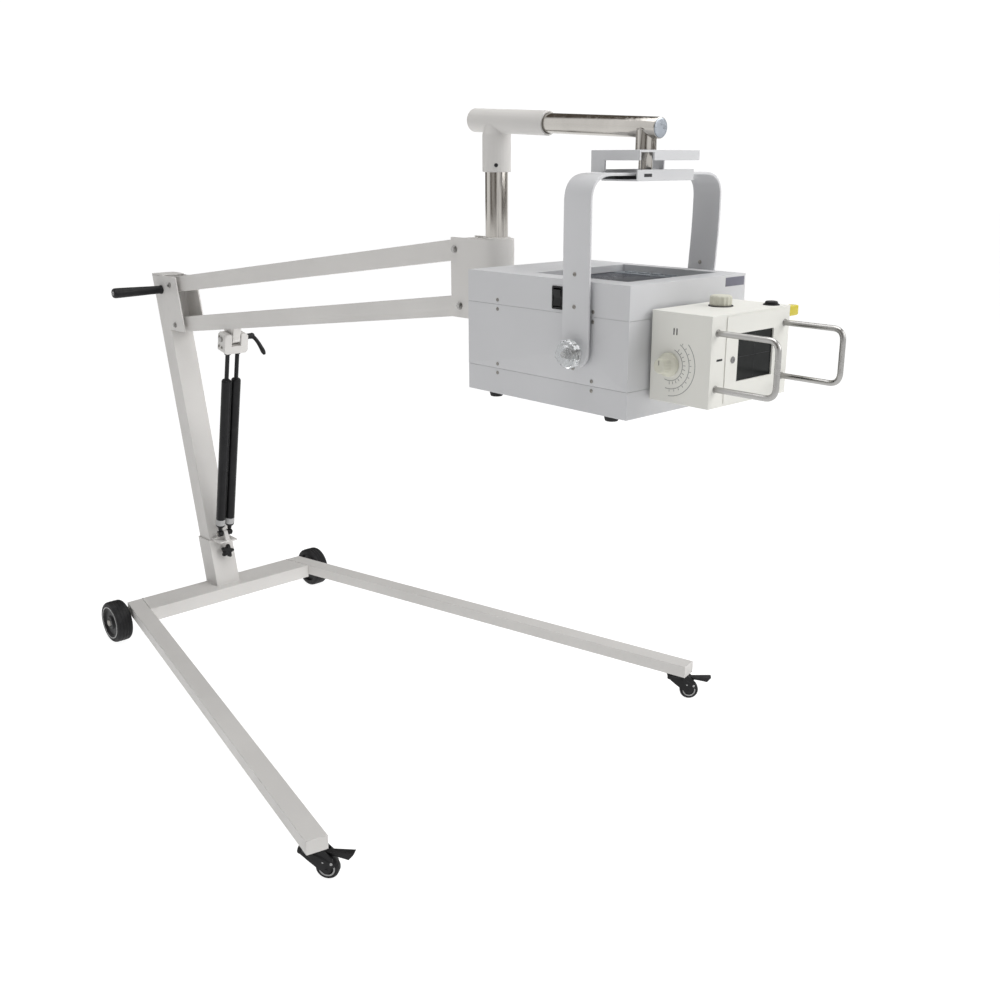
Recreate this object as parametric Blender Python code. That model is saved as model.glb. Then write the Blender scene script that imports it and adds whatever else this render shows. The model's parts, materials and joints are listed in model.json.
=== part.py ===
"""Portable X-ray generator on a wheeled parallelogram stand, modelled piece by piece.

Metres, +Z up. The stand faces -Y and its wheels stand on z = 0. Every piece is modelled about the
plane x = 0; the last step moves them all sideways, so that the object's box is centred there.
"""
import math

import bmesh
import bpy
from mathutils import Matrix, Vector

GAP = 0.0003  # air left between two pieces that touch
MIDDLE_X = -0.022  # the stand's middle plane: its brake pedals reach further to the right

# Base frame: a rear crossbar and two legs that splay outwards.
REAR_Y = 0.958  # rear edge of the crossbar
FRAME_TOP = 0.106  # top face of the crossbar and legs
CROSSBAR_HALF = 0.3095  # middle plane to a rear corner of the frame
CROSSBAR_DEPTH = 0.100
CROSSBAR_HEIGHT = 0.041
LEG_SPLAY = math.radians(12.2)
LEG_LENGTH = 1.478
LEG_WIDTH = 0.048
LEG_HEIGHT = 0.032
FRAME_WALL = 0.0025

# Rear wheels on fixed stub axles.
WHEEL_RADIUS = 0.0625
WHEEL_WIDTH = 0.048
WHEEL_INNER_X = 0.3300
WHEEL_Y = REAR_Y - 0.016
TYRE_INNER_RADIUS = 0.046
AXLE_RADIUS = 0.006

# Braked swivel casters under the front of the legs.
CASTER_RADIUS = 0.025
CASTER_WIDTH = 0.020
CASTER_TRAIL = 0.034
CASTER_FROM_END = 0.035
PEDAL_START = 0.024
PEDAL_HEIGHT = 0.059
CASTER_HEADING = {"left": math.radians(-52.0), "right": math.radians(-47.0)}

# Column: a rectangular tube that leans back, held in a socket on the crossbar.
COLUMN_LEAN = 0.2155  # backward run per unit of height
COLUMN_HALF = 0.036
COLUMN_REAR = REAR_Y - 0.004  # rear face at the height of the frame's top
COLUMN_FRONT = REAR_Y - 0.066
COLUMN_TOP = FRAME_TOP + 0.9580
COLUMN_WALL = 0.003
SOCKET_HEIGHT = 0.145
SOCKET_WALL = 0.004
CLEVIS_BOTTOM = FRAME_TOP + 0.797
CLEVIS_FRONT_TOP = REAR_Y + 0.0554  # front edge of the cheeks at their top
CLEVIS_FRONT_BOTTOM = REAR_Y + 0.0188
CLEVIS_SHEET = 0.004

# Parallelogram arm: two bars between the column's clevis and the head bracket.
UPPER_PIVOT = Vector((0.0, REAR_Y + 0.0925, FRAME_TOP + 0.9345))
LOWER_PIVOT = Vector((0.0, REAR_Y + 0.0765, FRAME_TOP + 0.8140))
ARM_VECTOR = Vector((0.0, -1.333, 0.181))
BAR_WIDTH = 0.040
BAR_HEIGHT = 0.045
BAR_WALL = 0.0025
BAR_TAIL = 0.014  # how far a bar runs past its pivots
BUSH_RADIUS = 0.0125
BUSH_HALF = 0.0317
BOLT_RADIUS = 0.006
BOLT_HEAD_RADIUS = 0.0095
BOLT_HEAD = 0.006

# Twin gas springs between the socket and the lower bar.
SPRING_FOOT = Vector((0.0, REAR_Y - 0.0685, FRAME_TOP + 0.172))
SPRING_HEAD = Vector((0.0, REAR_Y - 0.2030, FRAME_TOP + 0.802))
SPRING_OFFSET = 0.0160
SPRING_RADIUS = 0.0145
SPRING_BODY_START = 0.024
SPRING_BODY_END = 0.518
SPRING_BORE = 0.0058
SPRING_BORE_DEPTH = 0.285
ROD_RADIUS = 0.0052
ROD_DEPTH = 0.190  # length of rod inside the cylinder at rest
BLOCK_HALF_WIDTH = 0.0375
BLOCK_BELOW = 0.041
BLOCK_ABOVE = 0.017
BLOCK_HALF_DEPTH = 0.021
NOTCH_HALF = 0.0150
TAB_HALF = 0.0120
TAB_REAR_RADIUS = 0.0160
TAB_FRONT_RADIUS = 0.0125
SLOT_RADIUS = 0.0078
SLOT_TRAVEL = 0.0086  # how far the stud slides forward in the tab at either end of the lift
STUD_RADIUS = 0.005
LEVER_HUB = 0.030

# Head bracket, post and the arm above it.
POST_Y = REAR_Y - 1.335
POST_RADIUS = 0.0241
HEAD_BOTTOM = FRAME_TOP + 0.9697
HEAD_TOP = FRAME_TOP + 1.1411
HEAD_HALF = 0.0375
HEAD_CHEEK = 0.005
HEAD_REAR = REAR_Y - 1.228
TEE_BOTTOM = FRAME_TOP + 1.277
TEE_CENTRE_Z = FRAME_TOP + 1.3783
TEE_RADIUS = 0.030
SLEEVE_RADIUS = 0.024
SLEEVE_REAR = REAR_Y - 1.2646
SLEEVE_FRONT = REAR_Y - 1.487
ARM_DROOP = math.radians(2.7)
ARM_RADIUS = 0.0190
ARM_WALL = 0.003
ARM_REAR = REAR_Y - 1.375
ARM_FRONT = REAR_Y - 1.772
STUB_Y = REAR_Y - 1.738
STUB_RADIUS = 0.0195
PIN_RADIUS = 0.0128

# Hanger and yoke that carry the generator.
HANGER_TOP = FRAME_TOP + 1.3195
HANGER_HALF = 0.085
HANGER_DEPTH = 0.058
HANGER_SHEET = 0.004
HANGER_SKIRT = 0.018
HANGER_LEG = 0.034
TRAY_BOTTOM = FRAME_TOP + 1.2660
TRAY_TOP = FRAME_TOP + 1.2860
TRAY_HALF = 0.080
TRAY_FRONT = 0.050
TRAY_REAR = 0.036
TRAY_SHEET = 0.003
YOKE_TOP = FRAME_TOP + 1.2805
YOKE_THICK = 0.005
YOKE_HALF_WIDTH = 0.0325
YOKE_FOOT_HALF = 0.1805  # middle plane to the outer face at the foot
YOKE_TOP_HALF = 0.187
YOKE_TOP_SHIFT = 0.006
YOKE_BEND = 0.050
TILT_AXIS = Vector((0.0, STUB_Y, FRAME_TOP + 0.966))

# Generator case: three stacked sheet-metal shells.
CASE_HALF = 0.168
CASE_FRONT = REAR_Y - 1.8555
CASE_REAR = REAR_Y - 1.4330
CASE_BOTTOM = FRAME_TOP + 0.857
CASE_TOP = FRAME_TOP + 1.0947
LOWER_SEAM = FRAME_TOP + 0.908
UPPER_SEAM = FRAME_TOP + 1.033
CASE_WALL = 0.0018
SCREEN_X = (-0.120, 0.140)
SCREEN_Y = (REAR_Y - 1.808, REAR_Y - 1.572)
SCREEN_DROP = 0.014

# Collimator on the front of the case.
COL_HALF = 0.1155
COL_REAR = REAR_Y - 1.8630
COL_FRONT = REAR_Y - 1.9930
COL_BOTTOM = FRAME_TOP + 0.891
COL_TOP = FRAME_TOP + 1.051
COL_WALL = 0.003
WINDOW_X = (-0.040, 0.066)
WINDOW_Z = (FRAME_TOP + 0.931, FRAME_TOP + 1.0155)
BEAM_Z = FRAME_TOP + 0.971
HANDLE_X = 0.098
HANDLE_REACH = 0.123
HANDLE_Z = (FRAME_TOP + 0.9235, FRAME_TOP + 1.0225)
HANDLE_RADIUS = 0.004
HANDLE_BEND = 0.019

FINISHES = {
    "frame_white": ((0.78, 0.77, 0.74), 0.42, 0.0),
    "case_white": ((0.80, 0.81, 0.83), 0.40, 0.0),
    "collimator_cream": ((0.86, 0.84, 0.78), 0.45, 0.0),
    "steel": ((0.55, 0.54, 0.52), 0.35, 1.0),
    "chrome": ((0.75, 0.73, 0.70), 0.12, 1.0),
    "black_plastic": ((0.02, 0.02, 0.02), 0.45, 0.0),
    "tyre_black": ((0.02, 0.02, 0.02), 0.80, 0.0),
    "spring_black": ((0.015, 0.015, 0.015), 0.30, 0.0),
    "knob_beige": ((0.62, 0.61, 0.52), 0.45, 0.0),
    "screen_glass": ((0.06, 0.07, 0.09), 0.08, 0.0),
    "window_glass": ((0.05, 0.05, 0.05), 0.05, 0.0),
    "clear_acrylic": ((0.85, 0.87, 0.88), 0.05, 0.0),
    "latch_yellow": ((0.62, 0.52, 0.04), 0.40, 0.0),
    "tank_metal": ((0.60, 0.60, 0.60), 0.40, 1.0),
    "board_green": ((0.05, 0.25, 0.10), 0.50, 0.0),
}

AXES = {"X": Vector((1, 0, 0)), "Y": Vector((0, 1, 0)), "Z": Vector((0, 0, 1))}


def clear_scene():
    """Remove every object, so that the file builds the same model each time."""
    for obj in list(bpy.data.objects):
        bpy.data.objects.remove(obj, do_unlink=True)


def finish(name):
    """Return the named finish as a material."""
    mat = bpy.data.materials.get(name)
    if mat is None:
        colour, roughness, metallic = FINISHES[name]
        mat = bpy.data.materials.new(name)
        mat.use_nodes = True
        shader = mat.node_tree.nodes["Principled BSDF"]
        shader.inputs["Base Color"].default_value = (*colour, 1.0)
        shader.inputs["Roughness"].default_value = roughness
        shader.inputs["Metallic"].default_value = metallic
        mat.diffuse_color = (*colour, 1.0)
    return mat


def add_mesh(name, points, faces, look, smooth=False):
    """Make one closed mesh object from points and faces, with its faces pointing out."""
    mesh = bpy.data.meshes.new(name)
    mesh.from_pydata([tuple(p) for p in points], [], faces)
    work = bmesh.new()
    work.from_mesh(mesh)
    bmesh.ops.recalc_face_normals(work, faces=work.faces)
    work.to_mesh(mesh)
    work.free()
    if smooth:
        mesh.shade_smooth()
        mesh.set_sharp_from_angle(angle=math.radians(35.0))
    obj = bpy.data.objects.new(name, mesh)
    bpy.context.scene.collection.objects.link(obj)
    if look:
        mesh.materials.append(finish(look))
    return obj


def loft(name, rings, look, closed_loop=False, smooth=False):
    """Join rings of equal length; the ends are capped, or joined to each other."""
    count = len(rings[0])
    points = [p for ring in rings for p in ring]
    faces = []
    spans = len(rings) if closed_loop else len(rings) - 1
    for i in range(spans):
        a = i * count
        b = ((i + 1) % len(rings)) * count
        for j in range(count):
            k = (j + 1) % count
            faces.append((a + j, a + k, b + k, b + j))
    if not closed_loop:
        faces.append(tuple(range(count)))
        faces.append(tuple(range(len(points) - count, len(points))))
    return add_mesh(name, points, faces, look, smooth)


def prism(name, outline, axis, low, high, look):
    """Extrude an outline along X, Y or Z. Its points give the other two coordinates in order."""
    order = {"X": (2, 0, 1), "Y": (0, 2, 1), "Z": (0, 1, 2)}[axis]

    def place(point, level):
        values = (point[0], point[1], level)
        return Vector(values[i] for i in order)

    return loft(name, [[place(p, level) for p in outline] for level in (low, high)], look)


def block(name, low, high, look):
    """Make a box from its lowest to its highest corner."""
    outline = [(low[0], low[1]), (high[0], low[1]), (high[0], high[1]), (low[0], high[1])]
    return prism(name, outline, "Z", low[2], high[2], look)


def aim(start, direction):
    """Return the matrix that puts local Z along a direction from a start point."""
    turn = Vector(direction).to_track_quat("Z", "Y").to_matrix().to_4x4()
    return Matrix.Translation(start) @ turn


def turned(name, profile, start, direction, look, segments=20):
    """Turn a profile of (radius, distance) pairs about an axis. A zero radius is a pole."""
    frame = aim(start, direction)
    points = []
    rings = []
    for radius, along in profile:
        if radius == 0.0:
            rings.append([len(points)] * segments)
            points.append(frame @ Vector((0.0, 0.0, along)))
            continue
        rings.append([len(points) + i for i in range(segments)])
        for i in range(segments):
            angle = 2.0 * math.pi * i / segments
            local = Vector((radius * math.cos(angle), radius * math.sin(angle), along))
            points.append(frame @ local)
    hollow = profile[0][0] > 0.0
    faces = []
    for i in range(len(rings) if hollow else len(rings) - 1):
        first = rings[i]
        second = rings[(i + 1) % len(rings)]
        for j in range(segments):
            k = (j + 1) % segments
            face = [first[j], first[k], second[k], second[j]]
            face = [p for n, p in enumerate(face) if p not in face[:n]]
            if len(face) > 2:
                faces.append(tuple(face))
    return add_mesh(name, points, faces, look, smooth=True)


def rod(name, start, end, radius, look, segments=20):
    """Make a solid round bar between two points."""
    start = Vector(start)
    span = Vector(end) - start
    profile = [(0.0, 0.0), (radius, 0.0), (radius, span.length), (0.0, span.length)]
    return turned(name, profile, start, span, look, segments)


def bent_rod(name, path, radius, look, segments=12):
    """Carry a circle along a path that lies in a plane of constant x."""
    rings = []
    for i, point in enumerate(path):
        before = path[max(i - 1, 0)]
        after = path[min(i + 1, len(path) - 1)]
        tangent = (after - before).normalized()
        side = Vector((1.0, 0.0, 0.0))
        up = tangent.cross(side)
        angles = [2.0 * math.pi * j / segments for j in range(segments)]
        rings.append([point + (side * math.cos(a) + up * math.sin(a)) * radius for a in angles])
    return loft(name, rings, look, smooth=True)


def boolean(obj, other, operation):
    """Cut a hidden body from an object, or join it on."""
    other.hide_render = True
    other.display_type = "WIRE"
    modifier = obj.modifiers.new(operation.title() + "_" + other.name, "BOOLEAN")
    modifier.object = other
    modifier.operation = operation
    modifier.solver = "EXACT"
    return obj


def cut(obj, other):
    """Cut the other body away."""
    return boolean(obj, other, "DIFFERENCE")


def join(obj, other):
    """Weld the other body on."""
    return boolean(obj, other, "UNION")


def bore(obj, centre, axis, radius, half_length):
    """Drill a round hole through an object, centred on a point."""
    reach = AXES[axis] * half_length
    name = f"{obj.name}_bore_{len(obj.modifiers)}"
    return cut(obj, rod(name, Vector(centre) - reach, Vector(centre) + reach, radius, None))


def arc(centre, radius, start, end, steps):
    """List points of an arc in a plane, from a start to an end angle in degrees."""
    points = []
    for i in range(steps + 1):
        angle = math.radians(start + (end - start) * i / steps)
        points.append((centre[0] + radius * math.cos(angle), centre[1] + radius * math.sin(angle)))
    return points


def set_origin(obj, point):
    """Move an object's origin to a point on its joint's axis, leaving its shape in place."""
    obj.data.transform(Matrix.Translation(-Vector(point)))
    obj.location = point


def leg_outline(side, inset, end_inset):
    """Return a leg's plan view, moved inwards by an inset."""
    along = Vector((side * math.sin(LEG_SPLAY), -math.cos(LEG_SPLAY)))
    inward = Vector((-side * math.cos(LEG_SPLAY), -math.sin(LEG_SPLAY)))
    corner = Vector((side * CROSSBAR_HALF, REAR_Y))
    outer = corner + inward * inset
    inner = corner + inward * (LEG_WIDTH - inset)
    front = LEG_LENGTH - end_inset

    def at_rear(point):
        return point + along * ((point.y - (REAR_Y - end_inset)) / math.cos(LEG_SPLAY))

    return [at_rear(outer), outer + along * front, inner + along * front, at_rear(inner)]


def build_legs():
    """Make the two hollow legs; each cavity opens where the crossbar covers it."""
    top = FRAME_TOP
    for label, side in (("left", -1.0), ("right", 1.0)):
        leg = prism(f"{label}_leg", leg_outline(side, 0.0, 0.0), "Z", top - LEG_HEIGHT, top, "frame_white")
        hollow = prism(
            f"{label}_leg_hollow",
            leg_outline(side, FRAME_WALL, FRAME_WALL),
            "Z",
            top - LEG_HEIGHT + FRAME_WALL,
            top - FRAME_WALL,
            None,
        )
        inner_x = side * (CROSSBAR_HALF - LEG_WIDTH)
        port = block(
            f"{label}_leg_port",
            (inner_x - 0.02, REAR_Y - 0.06, top - 0.020),
            (inner_x + 0.02, REAR_Y - 0.04, top - 0.010),
            None,
        )
        cut(leg, hollow)
        cut(leg, port)


def build_crossbar():
    """Make the rear crossbar between the legs, hollow, with a port under the column."""
    half_rear = CROSSBAR_HALF - LEG_WIDTH / math.cos(LEG_SPLAY) - GAP
    half_front = half_rear + CROSSBAR_DEPTH * math.tan(LEG_SPLAY)
    front_y = REAR_Y - CROSSBAR_DEPTH
    low = FRAME_TOP - CROSSBAR_HEIGHT
    outline = [(-half_rear, REAR_Y), (-half_front, front_y), (half_front, front_y), (half_rear, REAR_Y)]
    bar = prism("rear_crossbar", outline, "Z", low, FRAME_TOP, "frame_white")
    inset = FRAME_WALL
    inner = [
        (-half_rear + inset, REAR_Y - inset),
        (-half_front + inset, front_y + inset),
        (half_front - inset, front_y + inset),
        (half_rear - inset, REAR_Y - inset),
    ]
    cut(bar, prism("crossbar_hollow", inner, "Z", low + inset, FRAME_TOP - inset, None))
    middle = (0.0, (COLUMN_REAR + COLUMN_FRONT) / 2.0, FRAME_TOP)
    bore(bar, middle, "Z", 0.012, 0.01)


def lean(base_y, height):
    """Return y on a face that leans back with the column, at a height above the frame."""
    return base_y + COLUMN_LEAN * (height - FRAME_TOP)


def leaning_tube(name, half, rear, front, wall, low, high, look):
    """Make a rectangular tube that leans back, open at both ends."""
    rings = []
    for inset, levels in ((0.0, (low, high)), (wall, (high, low))):
        for level in levels:
            x = half - inset
            back = lean(rear, level) - inset
            fore = lean(front, level) + inset
            corners = ((-x, back), (-x, fore), (x, fore), (x, back))
            rings.append([Vector((*corner, level)) for corner in corners])
    return loft(name, rings, look, closed_loop=True)


def build_column():
    """Make the column, its socket, and the clevis with its top plate."""
    foot = FRAME_TOP + GAP
    sides = (COLUMN_HALF, COLUMN_REAR, COLUMN_FRONT, COLUMN_WALL)
    leaning_tube("column", *sides, foot, COLUMN_TOP, "frame_white")
    reach = SOCKET_WALL + GAP
    leaning_tube(
        "column_socket",
        COLUMN_HALF + reach,
        COLUMN_REAR + reach,
        COLUMN_FRONT - reach,
        SOCKET_WALL,
        foot,
        FRAME_TOP + SOCKET_HEIGHT,
        "frame_white",
    )
    rings = []
    for level, front in ((CLEVIS_BOTTOM, CLEVIS_FRONT_BOTTOM), (COLUMN_TOP + 0.001, CLEVIS_FRONT_TOP)):
        web = lean(COLUMN_FRONT, level) - GAP
        half = COLUMN_HALF
        thin = COLUMN_HALF - CLEVIS_SHEET
        outline = [(-half, front), (-thin, front), (-thin, web - CLEVIS_SHEET), (thin, web - CLEVIS_SHEET)]
        outline += [(thin, front), (half, front), (half, web), (-half, web)]
        rings.append([Vector((x, y, level)) for x, y in outline])
    clevis = loft("arm_clevis", rings, "frame_white")
    plate = block(
        "clevis_top_plate",
        (-COLUMN_HALF, lean(COLUMN_FRONT, COLUMN_TOP) - 0.008, COLUMN_TOP + GAP),
        (COLUMN_HALF, lean(COLUMN_REAR, COLUMN_TOP), COLUMN_TOP + CLEVIS_SHEET),
        None,
    )
    join(clevis, plate)
    for pivot in (UPPER_PIVOT, LOWER_PIVOT):
        bore(clevis, pivot, "X", BOLT_RADIUS + GAP, COLUMN_HALF + 0.01)
    grip_start = (-COLUMN_HALF - GAP, REAR_Y + 0.1459, FRAME_TOP + 0.9155)
    grip = [(0.0, 0.0), (0.0125, 0.0), (0.0130, 0.010), (0.0145, 0.090), (0.0155, 0.140)]
    grip += [(0.0155, 0.150), (0.0125, 0.1575), (0.0, 0.1575)]
    turned("push_grip", grip, grip_start, (-1.0, 0.0, 0.012), "black_plastic", 18)


def build_socket_knob():
    """Make the five-lobed clamping knob on the socket's front face."""
    height = FRAME_TOP + 0.105
    face = Vector((0.004, lean(COLUMN_FRONT - SOCKET_WALL - GAP, height), height))
    normal = Vector((0.0, -1.0, COLUMN_LEAN)).normalized()
    start = face + normal * GAP
    stud = [(0.0, 0.0), (0.0040, 0.0), (0.0040, 0.008), (0.0080, 0.008), (0.0080, 0.018), (0.0, 0.018)]
    knob = turned("socket_knob", stud, start, normal, "black_plastic", 16)
    frame = aim(start, normal)
    rings = []
    for along in (0.015, 0.033):
        ring = []
        for i in range(30):
            angle = 2.0 * math.pi * i / 30
            radius = 0.0165 + 0.0055 * math.cos(5.0 * angle)
            ring.append(frame @ Vector((radius * math.cos(angle), radius * math.sin(angle), along)))
        rings.append(ring)
    join(knob, loft("socket_knob_star", rings, None))


def build_rear_wheels():
    """Make both stub axles and the tyre and hub of each rear wheel."""
    centre_z = WHEEL_RADIUS
    for label, side in (("left", -1.0), ("right", 1.0)):
        out = (side, 0.0, 0.0)
        plate_x = sorted((side * 0.3180, side * 0.3240))
        axle = block(
            f"{label}_axle",
            (plate_x[0], WHEEL_Y - 0.020, centre_z - 0.013),
            (plate_x[1], WHEEL_Y + 0.020, FRAME_TOP - 0.006),
            "steel",
        )
        profile = [(0.0, 0.0), (0.011, 0.0), (0.011, 0.0080), (AXLE_RADIUS, 0.0080)]
        profile += [(AXLE_RADIUS, 0.0570), (0.010, 0.0570), (0.009, 0.0605), (0.0, 0.0605)]
        shaft = turned(f"{label}_axle_shaft", profile, (side * 0.3215, WHEEL_Y, centre_z), out, None, 20)
        join(axle, shaft)
        inner = (side * WHEEL_INNER_X, WHEEL_Y, centre_z)
        edge = 0.006
        tyre = [
            (TYRE_INNER_RADIUS, 0.001),
            (WHEEL_RADIUS - edge, 0.0),
            (WHEEL_RADIUS, edge),
            (WHEEL_RADIUS, WHEEL_WIDTH - edge),
            (WHEEL_RADIUS - edge, WHEEL_WIDTH),
            (TYRE_INNER_RADIUS, WHEEL_WIDTH - 0.001),
        ]
        turned(f"{label}_tyre", tyre, inner, out, "tyre_black", 28)
        rim = TYRE_INNER_RADIUS - GAP
        shaft_hole = AXLE_RADIUS + GAP
        hub = [
            (shaft_hole, 0.002),
            (0.016, 0.002),
            (0.018, 0.008),
            (rim, 0.008),
            (rim, WHEEL_WIDTH - 0.003),
            (0.020, WHEEL_WIDTH - 0.007),
            (0.016, WHEEL_WIDTH - 0.003),
            (shaft_hole, WHEEL_WIDTH - 0.003),
        ]
        turned(f"{label}_hub", hub, inner, out, "black_plastic", 28)


def caster_axis(side):
    """Return the point on the floor below a caster's swivel."""
    along = Vector((side * math.sin(LEG_SPLAY), -math.cos(LEG_SPLAY)))
    inward = Vector((-side * math.cos(LEG_SPLAY), -math.sin(LEG_SPLAY)))
    corner = Vector((side * CROSSBAR_HALF, REAR_Y))
    point = corner + inward * (LEG_WIDTH / 2.0) + along * (LEG_LENGTH - CASTER_FROM_END)
    return Vector((point.x, point.y, 0.0))


def build_casters():
    """Make both casters: a fork that swivels, its wheel, and the brake pedal."""
    top = FRAME_TOP - LEG_HEIGHT
    for label, side in (("left", -1.0), ("right", 1.0)):
        heading = CASTER_HEADING[label]
        place = Matrix.Translation(caster_axis(side)) @ Matrix.Rotation(heading, 4, "Z")

        def plate(name, outline, low, high, look=None):
            """Extrude an outline of (along the trail, height) points across the caster."""
            obj = prism(name, outline, "Y", low, high, look)
            obj.data.transform(place)
            return obj

        rim = [(-0.023, top - 0.0045), (-0.022, top - 0.014), (-0.004, top - 0.030)]
        rim += arc((CASTER_TRAIL, CASTER_RADIUS), 0.0095, 215.0, 360.0, 5)
        rim += [(0.048, CASTER_RADIUS + 0.012), (0.049, top - 0.022), (0.030, top - 0.0045)]
        fork = plate(f"{label}_caster_fork", rim, 0.0125, 0.0155, "black_plastic")
        join(fork, plate(f"{label}_caster_cheek", rim, -0.0155, -0.0125))
        crown = [(0.0, top - 0.0095), (0.023, top - 0.0095), (0.023, top - 0.003), (0.017, top - 0.0005)]
        crown += [(0.0, top - 0.0005)]
        join(fork, turned(f"{label}_caster_crown", crown, place.translation, (0, 0, 1), None, 20))
        pin_ends = [place @ Vector((CASTER_TRAIL, y, CASTER_RADIUS)) for y in (-0.0165, 0.0165)]
        join(fork, rod(f"{label}_caster_pin", pin_ends[0], pin_ends[1], 0.003, None, 12))
        half = CASTER_WIDTH / 2.0
        tread = CASTER_RADIUS
        wheel = [
            (0.0033, -half),
            (tread - 0.003, -half),
            (tread, 0.003 - half),
            (tread, half - 0.003),
            (tread - 0.003, half),
            (0.0033, half),
        ]
        centre = place @ Vector((CASTER_TRAIL, 0.0, CASTER_RADIUS))
        across = place.to_3x3() @ Vector((0.0, 1.0, 0.0))
        turned(f"{label}_caster_wheel", wheel, centre, across, "tyre_black", 24)
        pedal = [(PEDAL_START, PEDAL_HEIGHT - 0.003), (PEDAL_START, PEDAL_HEIGHT + 0.003)]
        pedal += [(0.050, 0.0620), (0.072, 0.0640), (0.088, 0.0600), (0.092, 0.0470)]
        pedal += [(0.082, 0.0480), (0.068, 0.0560), (0.052, 0.0545)]
        plate(f"{label}_brake_pedal", pedal, -0.0115, 0.0115, "black_plastic")


def arm_bar(name, pivot):
    """Make one hollow bar with a welded bush at each end, bored for its bolts."""
    along = ARM_VECTOR.normalized()
    up = Vector((0.0, -along.z, along.y)) * -1.0
    start = pivot - along * BAR_TAIL
    end = pivot + ARM_VECTOR + along * BAR_TAIL
    rings = []
    for inset, points in ((0.0, (start, end)), (BAR_WALL, (end, start))):
        x = BAR_WIDTH / 2.0 - inset
        z = BAR_HEIGHT / 2.0 - inset
        corners = ((-x, -z), (-x, z), (x, z), (x, -z))
        for point in points:
            rings.append([point + Vector((aside, 0, 0)) + up * rise for aside, rise in corners])
    bar = loft(name, rings, "frame_white", closed_loop=True)
    for i, centre in enumerate((pivot, pivot + ARM_VECTOR)):
        bore(bar, centre, "X", BUSH_RADIUS - 0.003, BAR_WIDTH)
        hole = BOLT_RADIUS + GAP
        ring = [(hole, -BUSH_HALF), (BUSH_RADIUS, -BUSH_HALF), (BUSH_RADIUS, BUSH_HALF), (hole, BUSH_HALF)]
        join(bar, turned(f"{name}_bush_{i}", ring, centre, (1, 0, 0), None, 16))
    return bar


def build_arm():
    """Make the two bars, the spring tab under the lower one, and the four pivot bolts."""
    arm_bar("upper_bar", UPPER_PIVOT)
    lower = arm_bar("lower_bar", LOWER_PIVOT)
    slope = ARM_VECTOR.z / ARM_VECTOR.y
    half_height = BAR_HEIGHT / 2.0 * ARM_VECTOR.length / -ARM_VECTOR.y
    tab = []
    for y in (SPRING_HEAD.y - 0.030, SPRING_HEAD.y + 0.030):
        tab.append((y, LOWER_PIVOT.z + slope * (y - LOWER_PIVOT.y) - half_height + BAR_WALL / 2.0))
    rest = (SPRING_HEAD.y, SPRING_HEAD.z)
    limit = (SPRING_HEAD.y - SLOT_TRAVEL, SPRING_HEAD.z)
    tab += arc(rest, TAB_REAR_RADIUS, 20.0, -90.0, 6)
    tab += arc(limit, TAB_FRONT_RADIUS, -90.0, -200.0, 6)
    join(lower, prism("spring_tab", tab, "X", -TAB_HALF, TAB_HALF, None))
    slot = arc(rest, SLOT_RADIUS, 90.0, -90.0, 6)
    slot += arc(limit, SLOT_RADIUS, 270.0, 90.0, 6)
    cut(lower, prism("spring_tab_slot", slot, "X", -0.02, 0.02, None))
    for name, pivot, cheek in (
        ("upper_rear_bolt", UPPER_PIVOT, COLUMN_HALF),
        ("lower_rear_bolt", LOWER_PIVOT, COLUMN_HALF),
        ("upper_front_bolt", UPPER_PIVOT + ARM_VECTOR, HEAD_HALF),
        ("lower_front_bolt", LOWER_PIVOT + ARM_VECTOR, HEAD_HALF),
    ):
        grip = cheek + GAP
        far = BOLT_HEAD + 2.0 * grip
        profile = [(0.0, 0.0), (BOLT_HEAD_RADIUS, 0.0), (BOLT_HEAD_RADIUS, BOLT_HEAD)]
        profile += [(BOLT_RADIUS, BOLT_HEAD), (BOLT_RADIUS, far), (BOLT_HEAD_RADIUS, far)]
        profile += [(BOLT_HEAD_RADIUS, far + BOLT_HEAD), (0.0, far + BOLT_HEAD)]
        turned(name, profile, pivot - Vector((grip + BOLT_HEAD, 0, 0)), (1, 0, 0), "steel", 16)


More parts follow.
